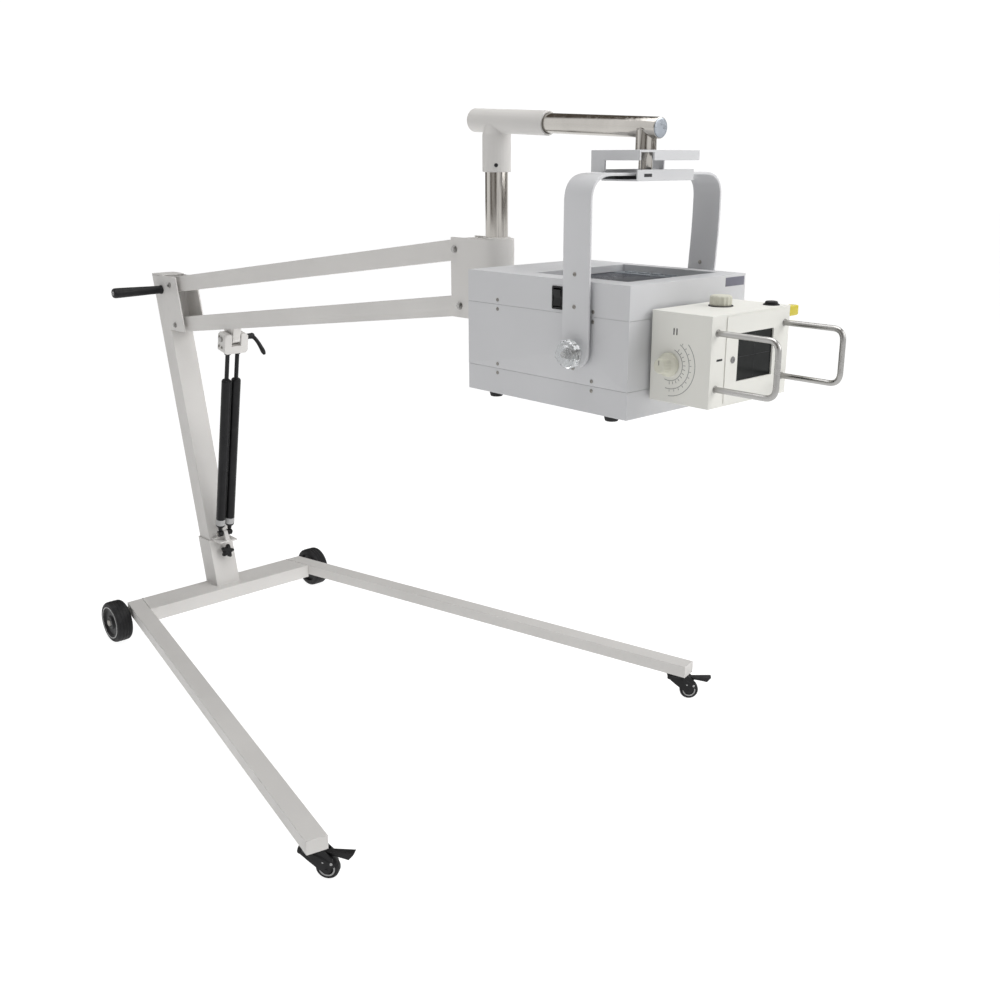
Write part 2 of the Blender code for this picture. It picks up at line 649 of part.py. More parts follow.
def build_springs():
    """Make the twin gas springs, their anchor, lower pin, clevis block and clamp lever."""
    axis = (SPRING_HEAD - SPRING_FOOT).normalized()
    length = (SPRING_HEAD - SPRING_FOOT).length
    across = axis.cross(Vector((1.0, 0.0, 0.0)))
    for label, side in (("left", -1.0), ("right", 1.0)):
        offset = Vector((side * SPRING_OFFSET, 0.0, 0.0))
        foot = SPRING_FOOT + offset
        top = SPRING_BODY_END
        bore_end = top - SPRING_BORE_DEPTH
        profile = [(0.0, 0.0), (0.006, 0.0), (0.006, SPRING_BODY_START - 0.006), (0.009, SPRING_BODY_START)]
        profile += [(SPRING_RADIUS, SPRING_BODY_START + 0.004), (SPRING_RADIUS, top - 0.003)]
        profile += [(SPRING_RADIUS - 0.003, top), (SPRING_BORE, top)]
        profile += [(SPRING_BORE, bore_end), (0.0, bore_end)]
        cylinder = turned(f"{label}_spring_cylinder", profile, foot, axis, "spring_black", 20)
        reach = Vector((0.007, 0.0, 0.0))
        join(cylinder, rod(f"{label}_spring_eye", foot - reach, foot + reach, 0.010, None, 16))
        bore(cylinder, foot, "X", 0.0043, 0.02)
        rod_start = foot + axis * (top - ROD_DEPTH)
        rod_end = foot + axis * (length - BLOCK_BELOW - GAP)
        rod(f"{label}_spring_rod", rod_start, rod_end, ROD_RADIUS, "steel", 14)
    reach = Vector((0.027, 0.0, 0.0))
    rod("spring_lower_pin", SPRING_FOOT - reach, SPRING_FOOT + reach, 0.0040, "steel", 14)
    shelf = FRAME_TOP + SOCKET_HEIGHT + GAP
    rear = lean(COLUMN_FRONT, shelf) - GAP - 0.001
    front = REAR_Y - 0.090
    base = block("spring_anchor", (-0.030, front, shelf), (0.030, rear, shelf + 0.005), "frame_white")
    peak = [(front + 0.003, shelf + 0.004), (rear - 0.004, shelf + 0.004)]
    peak += arc((SPRING_FOOT.y, SPRING_FOOT.z), 0.009, 30.0, 150.0, 4)
    join(base, prism("spring_anchor_tab", peak, "X", -0.0065, 0.0065, None))
    bore(base, SPRING_FOOT, "X", 0.0040 + GAP, 0.02)

    def section(along, deep):
        return SPRING_HEAD + axis * along + across * deep

    corner = 0.006
    low = -BLOCK_BELOW
    high = BLOCK_ABOVE
    wide = BLOCK_HALF_WIDTH
    deep = BLOCK_HALF_DEPTH
    outline = [(-wide, low + corner), (-wide + corner, low), (wide - corner, low), (wide, low + corner)]
    outline += [(wide, high - corner), (wide - corner, high), (NOTCH_HALF, high), (NOTCH_HALF, -0.018)]
    outline += [(-NOTCH_HALF, -0.018), (-NOTCH_HALF, high), (-wide + corner, high), (-wide, high - corner)]
    rings = []
    for depth in (-deep, deep):
        rings.append([section(along, depth) + Vector((x, 0.0, 0.0)) for x, along in outline])
    clevis = loft("spring_clevis", rings, "frame_white")
    bore(clevis, SPRING_HEAD, "X", STUD_RADIUS + GAP, 0.06)
    left_end = -wide - 0.009
    profile = [(0.0, 0.0), (0.0080, 0.0), (0.0080, 0.008), (STUD_RADIUS, 0.008)]
    hub_start = wide + 0.001 - left_end
    profile += [(STUD_RADIUS, hub_start), (0.0095, hub_start)]
    profile += [(0.0095, hub_start + LEVER_HUB), (0.0, hub_start + LEVER_HUB)]
    start = SPRING_HEAD + Vector((left_end, 0.0, 0.0))
    lever = turned("clevis_lever", profile, start, (1, 0, 0), "black_plastic", 16)
    hub = SPRING_HEAD + Vector((wide + LEVER_HUB - 0.006, 0.0, 0.0))
    handle = Vector((0.30, -0.56, -0.77)).normalized()
    lever_profile = [(0.0, 0.0), (0.0075, 0.0), (0.0065, 0.030), (0.0075, 0.062), (0.0, 0.066)]
    join(lever, turned("clevis_lever_arm", lever_profile, hub, handle, None, 12))


def build_head():
    """Make the head bracket, post, tee fitting, arm tube and stub."""
    inner = HEAD_HALF - HEAD_CHEEK
    barrel_rear = POST_Y + HEAD_HALF
    outline = [(-HEAD_HALF, HEAD_REAR)] + arc((0.0, POST_Y), HEAD_HALF, 180.0, 360.0, 12)
    outline += [(HEAD_HALF, HEAD_REAR), (inner, HEAD_REAR), (inner, barrel_rear)]
    outline += [(-inner, barrel_rear), (-inner, HEAD_REAR)]
    bracket = prism("head_bracket", outline, "Z", HEAD_BOTTOM, HEAD_TOP, "frame_white")
    bore_ends = ((0, POST_Y, HEAD_BOTTOM - 0.01), (0, POST_Y, HEAD_TOP + 0.01))
    cut(bracket, rod("post_bore", *bore_ends, POST_RADIUS + GAP, None, 32))
    for pivot in (UPPER_PIVOT, LOWER_PIVOT):
        bore(bracket, pivot + ARM_VECTOR, "X", BOLT_RADIUS + GAP, HEAD_HALF + 0.01)
    low = HEAD_BOTTOM + 0.002
    high = FRAME_TOP + 1.346
    wall = POST_RADIUS - 0.003
    profile = [(POST_RADIUS, low), (POST_RADIUS, high), (wall, high), (wall, low)]
    turned("post", profile, (0, POST_Y, 0), (0, 0, 1), "chrome", 32)

    arm = Vector((0.0, -math.cos(ARM_DROOP), -math.sin(ARM_DROOP)))
    centre = Vector((0.0, POST_Y, TEE_CENTRE_Z))

    def on_arm(y):
        return centre + arm * ((POST_Y - y) / math.cos(ARM_DROOP))

    shoulder = TEE_CENTRE_Z - 0.026
    crown = TEE_CENTRE_Z - 0.003
    socket = POST_RADIUS + GAP
    profile = [(TEE_RADIUS, TEE_BOTTOM), (TEE_RADIUS, shoulder), (0.0215, crown), (0.0, crown)]
    profile += [(0.0, high + GAP), (socket, high + GAP), (socket, TEE_BOTTOM)]
    tee = turned("tee_fitting", profile, (0, POST_Y, 0), (0, 0, 1), "frame_white", 28)
    length = (on_arm(SLEEVE_FRONT) - on_arm(SLEEVE_REAR)).length
    start = (on_arm(ARM_REAR) - on_arm(SLEEVE_REAR)).length - GAP
    socket = ARM_RADIUS + GAP
    profile = [(0.0, 0.0), (SLEEVE_RADIUS - 0.004, 0.0), (SLEEVE_RADIUS, 0.004), (SLEEVE_RADIUS, length)]
    profile += [(socket, length), (socket, start), (0.0, start)]
    join(tee, turned("tee_sleeve", profile, on_arm(SLEEVE_REAR), arm, None, 26))
    length = (on_arm(ARM_FRONT) - on_arm(ARM_REAR)).length
    wall = ARM_RADIUS - ARM_WALL
    profile = [(0.0, length), (ARM_RADIUS - 0.001, length), (ARM_RADIUS, length - 0.001), (ARM_RADIUS, 0.0)]
    profile += [(wall, 0.0), (wall, length - 0.004), (0.0, length - 0.004)]
    turned("arm_tube", profile, on_arm(ARM_REAR), arm, "chrome", 32)
    stub_top = on_arm(STUB_Y).z
    profile = [(0.0, FRAME_TOP + 1.2735), (PIN_RADIUS, FRAME_TOP + 1.2735), (PIN_RADIUS, HANGER_TOP + GAP)]
    profile += [(STUB_RADIUS, HANGER_TOP + GAP), (STUB_RADIUS, stub_top), (0.0, stub_top)]
    stub = turned("swivel_stub", profile, (0, STUB_Y, 0), (0, 0, 1), "chrome", 24)
    cut(stub, rod("stub_saddle", on_arm(STUB_Y + 0.05), on_arm(STUB_Y - 0.05), ARM_RADIUS + GAP, None, 32))


def build_hanger():
    """Make the folded upper hanger and the tray that clamps the yoke from below."""
    y_front = STUB_Y - HANGER_DEPTH
    y_rear = STUB_Y + HANGER_DEPTH
    sheet = HANGER_SHEET
    half = HANGER_HALF
    skirt = HANGER_TOP - HANGER_SKIRT
    foot = YOKE_TOP + GAP
    plate = ((-half, y_front, HANGER_TOP - sheet), (half, y_rear, HANGER_TOP))
    hanger = block("upper_hanger", *plate, "frame_white")
    for label, side in (("left", -1.0), ("right", 1.0)):
        edge = sorted((side * half, side * (half - sheet)))
        outline = [(y_front, HANGER_TOP), (y_front, skirt), (y_rear - HANGER_LEG, skirt)]
        outline += [(y_rear - HANGER_LEG, foot), (y_rear, foot), (y_rear, HANGER_TOP)]
        join(hanger, prism(f"hanger_{label}_side", outline, "X", edge[0], edge[1], None))
    lip = block("hanger_front_lip", (-0.045, y_front, skirt), (half, y_front + sheet, HANGER_TOP), None)
    join(hanger, lip)
    bore(hanger, (0, STUB_Y, HANGER_TOP), "Z", PIN_RADIUS + GAP, 0.02)

    low = TRAY_BOTTOM
    thin = TRAY_SHEET
    fore = STUB_Y - TRAY_FRONT
    back = STUB_Y + TRAY_REAR
    outline = [(fore, low), (back, low), (back, TRAY_TOP), (back - thin, TRAY_TOP), (back - thin, low + thin)]
    outline += [(fore + thin, low + thin), (fore + thin, TRAY_TOP), (fore, TRAY_TOP)]
    prism("lower_hanger", outline, "X", -TRAY_HALF, TRAY_HALF, "frame_white")


def yoke_path():
    """List the yoke's outer line in x and z, from the left foot over the top to the right foot."""
    foot_z = TILT_AXIS.z - 0.028
    left = YOKE_TOP_SHIFT - YOKE_TOP_HALF
    right = YOKE_TOP_SHIFT + YOKE_TOP_HALF
    bend_z = YOKE_TOP - YOKE_BEND
    path = [(-YOKE_FOOT_HALF, foot_z + t) for t in (0.0, 0.002, 0.008, 0.018, 0.0325)]
    path += arc((left + YOKE_BEND, bend_z), YOKE_BEND, 180.0, 90.0, 8)
    path += arc((right - YOKE_BEND, bend_z), YOKE_BEND, 90.0, 0.0, 8)
    path += [(YOKE_FOOT_HALF, foot_z + t) for t in (0.0325, 0.018, 0.008, 0.002, 0.0)]
    return path


def build_yoke():
    """Make the strap yoke with rounded feet, and its two clamp knobs."""
    path = yoke_path()
    rings = []
    reach = YOKE_HALF_WIDTH
    for i, (x, z) in enumerate(path):
        before = Vector(path[max(i - 1, 0)])
        after = Vector(path[min(i + 1, len(path) - 1)])
        tangent = (after - before).normalized()
        inward = Vector((tangent.y, -tangent.x))
        rise = min(z - path[0][1] + 0.0008, reach)
        half = math.sqrt(reach**2 - (reach - rise) ** 2)
        outer = Vector((x, z))
        inner = outer + inward * YOKE_THICK
        rings.append(
            [
                Vector((outer.x, STUB_Y - half, outer.y)),
                Vector((outer.x, STUB_Y + half, outer.y)),
                Vector((inner.x, STUB_Y + half, inner.y)),
                Vector((inner.x, STUB_Y - half, inner.y)),
            ]
        )
    yoke = loft("yoke", rings, "frame_white")
    bore(yoke, (0, STUB_Y, YOKE_TOP), "Z", PIN_RADIUS + GAP, 0.02)
    bore(yoke, TILT_AXIS, "X", 0.0053, 0.25)
    for label, side in (("left", -1.0), ("right", 1.0)):
        start = TILT_AXIS + Vector((side * 0.158, 0.0, 0.0))
        face = YOKE_FOOT_HALF + 0.0008 - 0.158
        profile = [(0.0, 0.0), (0.005, 0.0), (0.005, face), (0.012, face), (0.012, face + 0.005)]
        profile += [(0.020, face + 0.009), (0.020, face + 0.028), (0.017, face + 0.033), (0.0, face + 0.033)]
        turned(f"{label}_clamp_knob", profile, start, (side, 0, 0), "clear_acrylic", 24)


def shell(name, low, high, wall, open_bottom, open_top, look):
    """Make a rectangular shell that is open below, above or both."""
    obj = block(name, low, high, look)
    inner_low = [low[0] + wall, low[1] + wall, low[2] - 0.01 if open_bottom else low[2] + wall]
    inner_high = [high[0] - wall, high[1] - wall, high[2] + 0.01 if open_top else high[2] - wall]
    return cut(obj, block(f"{name}_hollow", inner_low, inner_high, None))


def build_case():
    """Make the generator's three shells, the screen, the switch and what is inside."""
    low = (-CASE_HALF, CASE_FRONT)
    high = (CASE_HALF, CASE_REAR)
    wall = CASE_WALL
    shell("case_lower", (*low, CASE_BOTTOM), (*high, LOWER_SEAM - GAP), wall, False, True, "case_white")
    ends = ((*low, LOWER_SEAM), (*high, UPPER_SEAM - GAP))
    middle = shell("case_middle", *ends, wall, True, True, "case_white")
    for label, side in (("left", -1.0), ("right", 1.0)):
        ends = (side * (CASE_HALF - 0.001), side * (YOKE_FOOT_HALF - YOKE_THICK - 0.0006))
        points = [TILT_AXIS + Vector((x, 0, 0)) for x in ends]
        join(middle, rod(f"{label}_tilt_boss", points[0], points[1], 0.016, None, 20))
        bore(middle, TILT_AXIS + Vector((side * CASE_HALF, 0, 0)), "X", 0.0053, 0.02)
    bore(middle, (0, CASE_FRONT, BEAM_Z), "Y", 0.030, 0.02)
    top = shell("case_top", (*low, UPPER_SEAM), (*high, CASE_TOP), wall, True, False, "case_white")
    floor = CASE_TOP - SCREEN_DROP
    rim = block(
        "screen_rim",
        (SCREEN_X[0] - wall, SCREEN_Y[0] - wall, floor),
        (SCREEN_X[1] + wall, SCREEN_Y[1] + wall, CASE_TOP - wall / 2.0),
        None,
    )
    join(top, rim)
    opening = block(
        "screen_opening",
        (SCREEN_X[0], SCREEN_Y[0], floor - 0.01),
        (SCREEN_X[1], SCREEN_Y[1], CASE_TOP + 0.01),
        None,
    )
    cut(top, opening)
    block(
        "screen",
        (SCREEN_X[0] - 0.004, SCREEN_Y[0] - 0.004, floor - 0.006),
        (SCREEN_X[1] + 0.004, SCREEN_Y[1] + 0.004, floor - GAP),
        "screen_glass",
    )
    switch_y = REAR_Y - 1.6815
    switch_z = FRAME_TOP + 1.0600
    hole = block(
        "switch_opening",
        (-CASE_HALF - 0.01, switch_y - 0.0105, switch_z - 0.0175),
        (-CASE_HALF + 0.01, switch_y + 0.0105, switch_z + 0.0175),
        None,
    )
    cut(top, hole)
    rocker = [(-0.1620, switch_z - 0.0150), (-0.1705, switch_z - 0.0150), (-0.1690, switch_z)]
    rocker += [(-0.1725, switch_z + 0.0150), (-0.1620, switch_z + 0.0150)]
    prism("rocker_switch", rocker, "Y", switch_y - 0.0095, switch_y + 0.0095, "black_plastic")
    inside = CASE_BOTTOM + wall + GAP
    tank = ((-0.085, CASE_FRONT + 0.030, inside), (0.085, CASE_FRONT + 0.215, inside + 0.160))
    block("tube_tank", *tank, "tank_metal")
    board = ((-0.140, CASE_REAR - 0.160, inside), (0.140, CASE_REAR - 0.020, inside + 0.012))
    block("inverter_board", *board, "board_green")


def build_collimator():
    """Make the collimator's housing and window, its shutter, knobs, button, latch and handles."""
    low = (-COL_HALF, COL_FRONT, COL_BOTTOM)
    high = (COL_HALF, COL_REAR, COL_TOP)
    housing = block("collimator_housing", low, high, "collimator_cream")
    inner_low = [value + COL_WALL for value in low]
    inner_high = [value - COL_WALL for value in high]
    cut(housing, block("collimator_hollow", inner_low, inner_high, None))
    bore(housing, (0, COL_REAR, BEAM_Z), "Y", 0.045, 0.02)
    opening = block(
        "window_opening",
        (WINDOW_X[0], COL_FRONT - 0.01, WINDOW_Z[0]),
        (WINDOW_X[1], COL_FRONT + 0.01, WINDOW_Z[1]),
        None,
    )
    cut(housing, opening)
    block(
        "collimator_window",
        (WINDOW_X[0] + GAP, COL_FRONT + 0.0015, WINDOW_Z[0] + GAP),
        (WINDOW_X[1] - GAP, COL_FRONT + 0.0045, WINDOW_Z[1] - GAP),
        "window_glass",
    )
    shutter_y = COL_FRONT + 0.040
    block(
        "collimator_shutter",
        (-0.095, shutter_y, BEAM_Z - 0.060),
        (-0.055, shutter_y + 0.003, BEAM_Z + 0.060),
        "steel",
    )
    dial = [(0.0, 0.0), (0.0210, 0.0), (0.0210, 0.009), (0.0190, 0.011), (0.0140, 0.012)]
    dial += [(0.0130, 0.028), (0.0115, 0.030), (0.0, 0.030)]
    dial_centre = (-COL_HALF - GAP, REAR_Y - 1.906, FRAME_TOP + 0.959)
    turned("shutter_dial", dial, dial_centre, (-1, 0, 0), "knob_beige", 28)
    knob = [(0.0, 0.0), (0.0185, 0.0), (0.0200, 0.003), (0.0200, 0.013), (0.0185, 0.015), (0.0, 0.015)]
    turned("top_knob", knob, (0.012, REAR_Y - 1.915, COL_TOP + GAP), (0, 0, 1), "knob_beige", 28)
    button_at = (0.092, REAR_Y - 1.968, COL_TOP)
    hole = ((*button_at[:2], COL_TOP - 0.010), (*button_at[:2], COL_TOP + 0.01))
    cut(housing, rod("button_hole", *hole, 0.0123, None, 24))
    depth = CASE_FRONT - GAP - COL_REAR + COL_WALL / 3.0
    collar = [(0.030, 0.0), (0.055, 0.0), (0.055, depth), (0.030, depth)]
    join(housing, turned("collimator_collar", collar, (0, CASE_FRONT - GAP, BEAM_Z), (0, -1, 0), None, 24))
    button = [(0.0, -0.0020), (0.0120, -0.0020), (0.0120, 0.0035), (0.0105, 0.0050), (0.0, 0.0050)]
    turned("lamp_button", button, button_at, (0, 0, 1), "black_plastic", 24)
    block(
        "yellow_latch",
        (COL_HALF + GAP, COL_FRONT + 0.001, COL_TOP - 0.021),
        (COL_HALF + 0.026, COL_FRONT + 0.018, COL_TOP - 0.002),
        "latch_yellow",
    )
    tip = COL_FRONT - HANDLE_REACH
    bend = HANDLE_BEND
    for label, side in (("left", -1.0), ("right", 1.0)):
        path = [(COL_FRONT - GAP, HANDLE_Z[1])]
        path += arc((tip + bend, HANDLE_Z[1] - bend), bend, 90.0, 180.0, 5)
        path += arc((tip + bend, HANDLE_Z[0] + bend), bend, 180.0, 270.0, 5)
        path += [(COL_FRONT - GAP, HANDLE_Z[0])]
        points = [Vector((side * HANDLE_X, y, z)) for y, z in path]
        bent_rod(f"{label}_handle", points, HANDLE_RADIUS, "steel")


def place_origins():
    """Put each moving piece's origin on the axis that it turns about or slides along."""
    pivots = {
        "upper_bar": UPPER_PIVOT,
        "lower_bar": LOWER_PIVOT,
        "head_bracket": LOWER_PIVOT + ARM_VECTOR,
        "spring_clevis": SPRING_HEAD,
        "clevis_lever": SPRING_HEAD,
        "post": (0.0, POST_Y, HEAD_BOTTOM),
        "tee_fitting": (0.0, POST_Y, TEE_BOTTOM),
        "upper_hanger": (0.0, STUB_Y, HANGER_TOP),
        "lower_hanger": (0.0, STUB_Y, TRAY_TOP),
        "yoke": (0.0, STUB_Y, YOKE_TOP),
        "case_middle": TILT_AXIS,
        "collimator_housing": TILT_AXIS,
        "rocker_switch": (-0.160, REAR_Y - 1.6815, FRAME_TOP + 1.0600),
        "left_clamp_knob": TILT_AXIS,
        "right_clamp_knob": TILT_AXIS,
    }
    for label, side in (("left", -1.0), ("right", 1.0)):
        wheel = Vector((side * WHEEL_INNER_X, WHEEL_Y, WHEEL_RADIUS))
        swivel = caster_axis(side)
        turn = Matrix.Rotation(CASTER_HEADING[label], 4, "Z")
        pivots[f"{label}_tyre"] = wheel
        pivots[f"{label}_hub"] = wheel
        pivots[f"{label}_caster_fork"] = swivel
        pivots[f"{label}_caster_wheel"] = swivel + turn @ Vector((CASTER_TRAIL, 0.0, CASTER_RADIUS))
        pivots[f"{label}_brake_pedal"] = swivel + turn @ Vector((PEDAL_START, 0.0, PEDAL_HEIGHT))
        foot = SPRING_FOOT + Vector((side * SPRING_OFFSET, 0.0, 0.0))
        pivots[f"{label}_spring_cylinder"] = foot
        pivots[f"{label}_spring_rod"] = foot
    for name, point in pivots.items():
        set_origin(bpy.data.objects[name], point)
    for obj in bpy.data.objects:
        obj.location.x += MIDDLE_X


def main():
    """Build every piece of the stand and of the generator."""
    clear_scene()
    build_legs()
    build_crossbar()
    build_column()
    build_socket_knob()
    build_rear_wheels()
    build_casters()
    build_arm()
    build_springs()
    build_head()
    build_hanger()
    build_yoke()
    build_case()
    build_collimator()
    place_origins()


main()
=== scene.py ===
"""Looks for a portable X-ray generator on a wheeled parallelogram stand.

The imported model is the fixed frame. Every piece here is worked out in metres in that frame, rides on
one of its bodies, and either adds a detail or stands for a plain node with a finer surface.
"""

import json
import math

import bmesh
import bpy
import numpy as np
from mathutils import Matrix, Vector


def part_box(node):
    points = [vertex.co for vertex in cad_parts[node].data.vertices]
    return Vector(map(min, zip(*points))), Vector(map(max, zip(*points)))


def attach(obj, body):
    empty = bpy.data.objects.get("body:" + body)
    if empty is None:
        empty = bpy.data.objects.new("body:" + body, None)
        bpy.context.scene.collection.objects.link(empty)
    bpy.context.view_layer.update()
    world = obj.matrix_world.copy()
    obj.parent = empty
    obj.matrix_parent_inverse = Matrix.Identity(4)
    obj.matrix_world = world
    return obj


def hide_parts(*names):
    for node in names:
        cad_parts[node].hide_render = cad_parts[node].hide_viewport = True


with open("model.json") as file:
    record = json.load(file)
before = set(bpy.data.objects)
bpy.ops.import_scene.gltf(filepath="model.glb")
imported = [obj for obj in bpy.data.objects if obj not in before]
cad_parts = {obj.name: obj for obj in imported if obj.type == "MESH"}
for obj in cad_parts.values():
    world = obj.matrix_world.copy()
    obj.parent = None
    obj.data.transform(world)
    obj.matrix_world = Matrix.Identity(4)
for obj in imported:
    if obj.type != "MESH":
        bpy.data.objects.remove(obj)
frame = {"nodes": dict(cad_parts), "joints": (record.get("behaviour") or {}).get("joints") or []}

bl_info = {
    "name": "X-ray stand looks",
    "version": (1, 0, 0),
    "blender": (4, 5, 0),
    "location": "View3D > Sidebar > X-ray stand",
    "description": "Builds the finished surfaces of a mobile X-ray stand round its packed frame",
    "category": "Add Mesh",
}

TAU = 2.0 * math.pi
SIDES = (("left", -1.0), ("right", 1.0))
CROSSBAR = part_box("rear_crossbar")
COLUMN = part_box("column")
MIDDLE = (COLUMN[0].x + COLUMN[1].x) / 2.0  # the stand's middle plane
REAR = CROSSBAR[1].y  # rear edge of the crossbar
TOP = CROSSBAR[1].z  # top face of the crossbar


def at(x, y, z):
    """Give the place of a point measured from the middle plane, the rear edge and the frame's top."""
    return np.array([MIDDLE + x, REAR + y, TOP + z])


# --------------------------------------------------------------------------- surfaces


def placed(local, origin, direction):
    """Stand local points up: local z runs along a direction from an origin."""
    turn = np.array(Vector(direction).to_track_quat("Z", "Y").to_matrix())
    return local @ turn.T + np.asarray(origin)


def fillet(points, radius, steps=4, closed=False):
    """Round each corner: cut it back by a radius on both sides, and join the cuts by a parabola."""
    points = np.asarray(points, float)
    count = len(points)
    out = []
    for i, corner in enumerate(points):
        if not closed and i in (0, count - 1):
            out.append(corner[None])
            continue
        before = points[i - 1] - corner
        after = points[(i + 1) % count] - corner
        lengths = [max(np.linalg.norm(v), 1e-9) for v in (before, after)]
        first = corner + before * min(radius / lengths[0], 0.45)
        last = corner + after * min(radius / lengths[1], 0.45)
        t = np.linspace(0.0, 1.0, steps + 1)[:, None]
        out.append((1 - t) ** 2 * first + 2 * t * (1 - t) * corner + t**2 * last)
    return np.concatenate(out)


def lathe(profile, origin, direction, segments=64, ripple=None):
    """Turn (radius r, distance d) pairs about a line: the point at angle a is (r cos a, r sin a, d).

    A ripple is a function of the angles and the distances that multiplies the radius.
    """
    profile = np.asarray(profile, float)
    angle = np.arange(segments) * TAU / segments
    radius = profile[:, :1] * np.ones(segments)
    along = profile[:, 1:2] * np.ones(segments)
    if ripple is not None:
        radius = radius * ripple(angle[None], along)
    local = np.stack([radius * np.cos(angle), radius * np.sin(angle), along], axis=-1)
    return placed(local, origin, direction)


def tube(path, section, side=(1.0, 0.0, 0.0), scale=None):
    """Carry a section along a path: each of its points (p, q) lands at path + p side + q normal.

    The normal is square to the side and to the path's tangent, which central differences give.
    """
    path = np.asarray(path, float)
    section = np.asarray(section, float)
    tangent = np.gradient(path, axis=0)
    tangent /= np.linalg.norm(tangent, axis=1)[:, None]
    side = np.asarray(side, float)
    across = side - (tangent @ side)[:, None] * tangent
    across /= np.linalg.norm(across, axis=1)[:, None]
    normal = np.cross(tangent, across)
    size = np.ones((len(path), 2)) if scale is None else np.asarray(scale, float)
    p = section[None, :, :1] * size[:, None, :1]
    q = section[None, :, 1:] * size[:, None, 1:]
    return path[:, None] + p * across[:, None] + q * normal[:, None]


def circle(radius, count=20):
    """List the points of a circle."""
    angle = np.arange(count) * TAU / count
    return np.stack([radius * np.cos(angle), radius * np.sin(angle)], axis=1)


def rounded_box(low, high, radius, steps=3):
    """Make a box with round corners: a round-cornered plan, carried up over a round-edged profile.

    Near the bottom and the top the plan shrinks towards its middle as a quarter circle does.
    """
    low = np.asarray(low, float)
    high = np.asarray(high, float)
    corners = [(low[0], low[1]), (high[0], low[1]), (high[0], high[1]), (low[0], high[1])]
    plan = fillet(corners, radius, steps, closed=True)
    centre = (low + high)[:2] / 2.0
    half = (high - low)[:2] / 2.0
    turn = np.linspace(0.0, math.pi / 2.0, steps + 1)
    inset = np.concatenate(
        [[radius * 4], radius * (1 - np.sin(turn)), radius * (1 - np.cos(turn)), [radius * 4]]
    )
    inset[-1] = inset[0] = min(half)
    level = np.concatenate(
        [[low[2]], low[2] + radius * (1 - np.cos(turn)), high[2] - radius * (1 - np.sin(turn)), [high[2]]]
    )
    shrink = 1.0 - inset[:, None] / half[None]
    flat = centre + (plan - centre)[None] * shrink[:, None]
    height = np.broadcast_to(level[:, None, None], flat.shape[:2] + (1,))
    return np.concatenate([flat, height], axis=-1)


def strip(outer, inner, low, high):
    """Make a flat ring between two outlines of equal length, from one level to another."""
    loops = [(outer, low), (outer, high), (inner, high), (inner, low)]
    return np.stack([np.column_stack([loop, np.full(len(loop), level)]) for loop, level in loops])


def grid_faces(rows, columns, start, wrap):
    """List the four-cornered faces of a grid whose rows are closed rings."""
    first = np.arange(rows if wrap else rows - 1)[:, None]
    column = np.arange(columns)[None]
    after = (column + 1) % columns
    second = (first + 1) % rows
    quads = np.stack(
        [
            first * columns + column,
            first * columns + after,
            second * columns + after,
            second * columns + column,
        ],
        axis=-1,
    )
    return (quads.reshape(-1, 4) + start).tolist()


def put(name, grids, body, look, wrap=False, nodes=(), sharp=35.0, bevel=0.0):
    """Make one piece from closed surfaces, give it its finish, and let it ride on a body."""
    points = []
    faces = []
    count = 0
    for grid in grids if isinstance(grids, list) else [grids]:
        rows, columns = grid.shape[:2]
        faces += grid_faces(rows, columns, count, wrap)
        if not wrap:
            faces.append(list(range(count, count + columns)))
            faces.append(list(range(count + (rows - 1) * columns, count + rows * columns)))
        points.append(grid.reshape(-1, 3))
        count += rows * columns
    mesh = bpy.data.meshes.new(name)
    mesh.from_pydata(np.concatenate(points).tolist(), [], faces)
    work = bmesh.new()
    work.from_mesh(mesh)
    bmesh.ops.remove_doubles(work, verts=work.verts, dist=2e-6)
    bmesh.ops.dissolve_degenerate(work, edges=work.edges, dist=1e-6)
    bmesh.ops.recalc_face_normals(work, faces=work.faces)
    work.to_mesh(mesh)
    work.free()
    obj = bpy.data.objects.new(name, mesh)
    bpy.context.scene.collection.objects.link(obj)
    return finished(obj, body, look, nodes, sharp, bevel)


def finished(obj, body, look, nodes, sharp, bevel):
    """Shade a piece, round its edges if asked, and tie it to its body, finish and nodes."""
    obj.data.shade_smooth()
    obj.data.set_sharp_from_angle(angle=math.radians(sharp))
    obj.data.materials.clear()
    obj.data.materials.append(LOOKS[look]())
    if bevel:
        modifier = obj.modifiers.new("rounded_edges", "BEVEL")
        modifier.width = bevel
        modifier.segments = 3
        modifier.limit_method = "ANGLE"
        modifier.angle_limit = math.radians(28.0)
        modifier.harden_normals = True
    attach(obj, body)
    if nodes:
        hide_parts(*nodes)
    return obj


def refined(node, body, look, bevel):
    """Stand a clean copy of a node in its place: doubles merged, flat faces joined, edges rounded."""
    source = frame["nodes"][node]
    mesh = source.data.copy()
    work = bmesh.new()
    work.from_mesh(mesh)
    bmesh.ops.remove_doubles(work, verts=work.verts, dist=1e-5)
    bmesh.ops.dissolve_limit(
        work, angle_limit=math.radians(0.6), verts=work.verts, edges=work.edges, use_dissolve_boundaries=False
    )
    work.to_mesh(mesh)
    work.free()
    obj = bpy.data.objects.new(f"{node}_finished", mesh)
    bpy.context.scene.collection.objects.link(obj)
    return finished(obj, body, look, (node,), 40.0, bevel)


def disc_screw(origin, direction, radius, height):
    """Give a domed screw head with a round socket."""
    profile = [(0.0, 0.0), (radius, 0.0), (radius, height * 0.5), (radius * 0.75, height)]
    profile += [(radius * 0.42, height), (radius * 0.38, height * 0.35), (0.0, height * 0.35)]
    return lathe(fillet(profile, radius * 0.12, 2), origin, direction, 20)


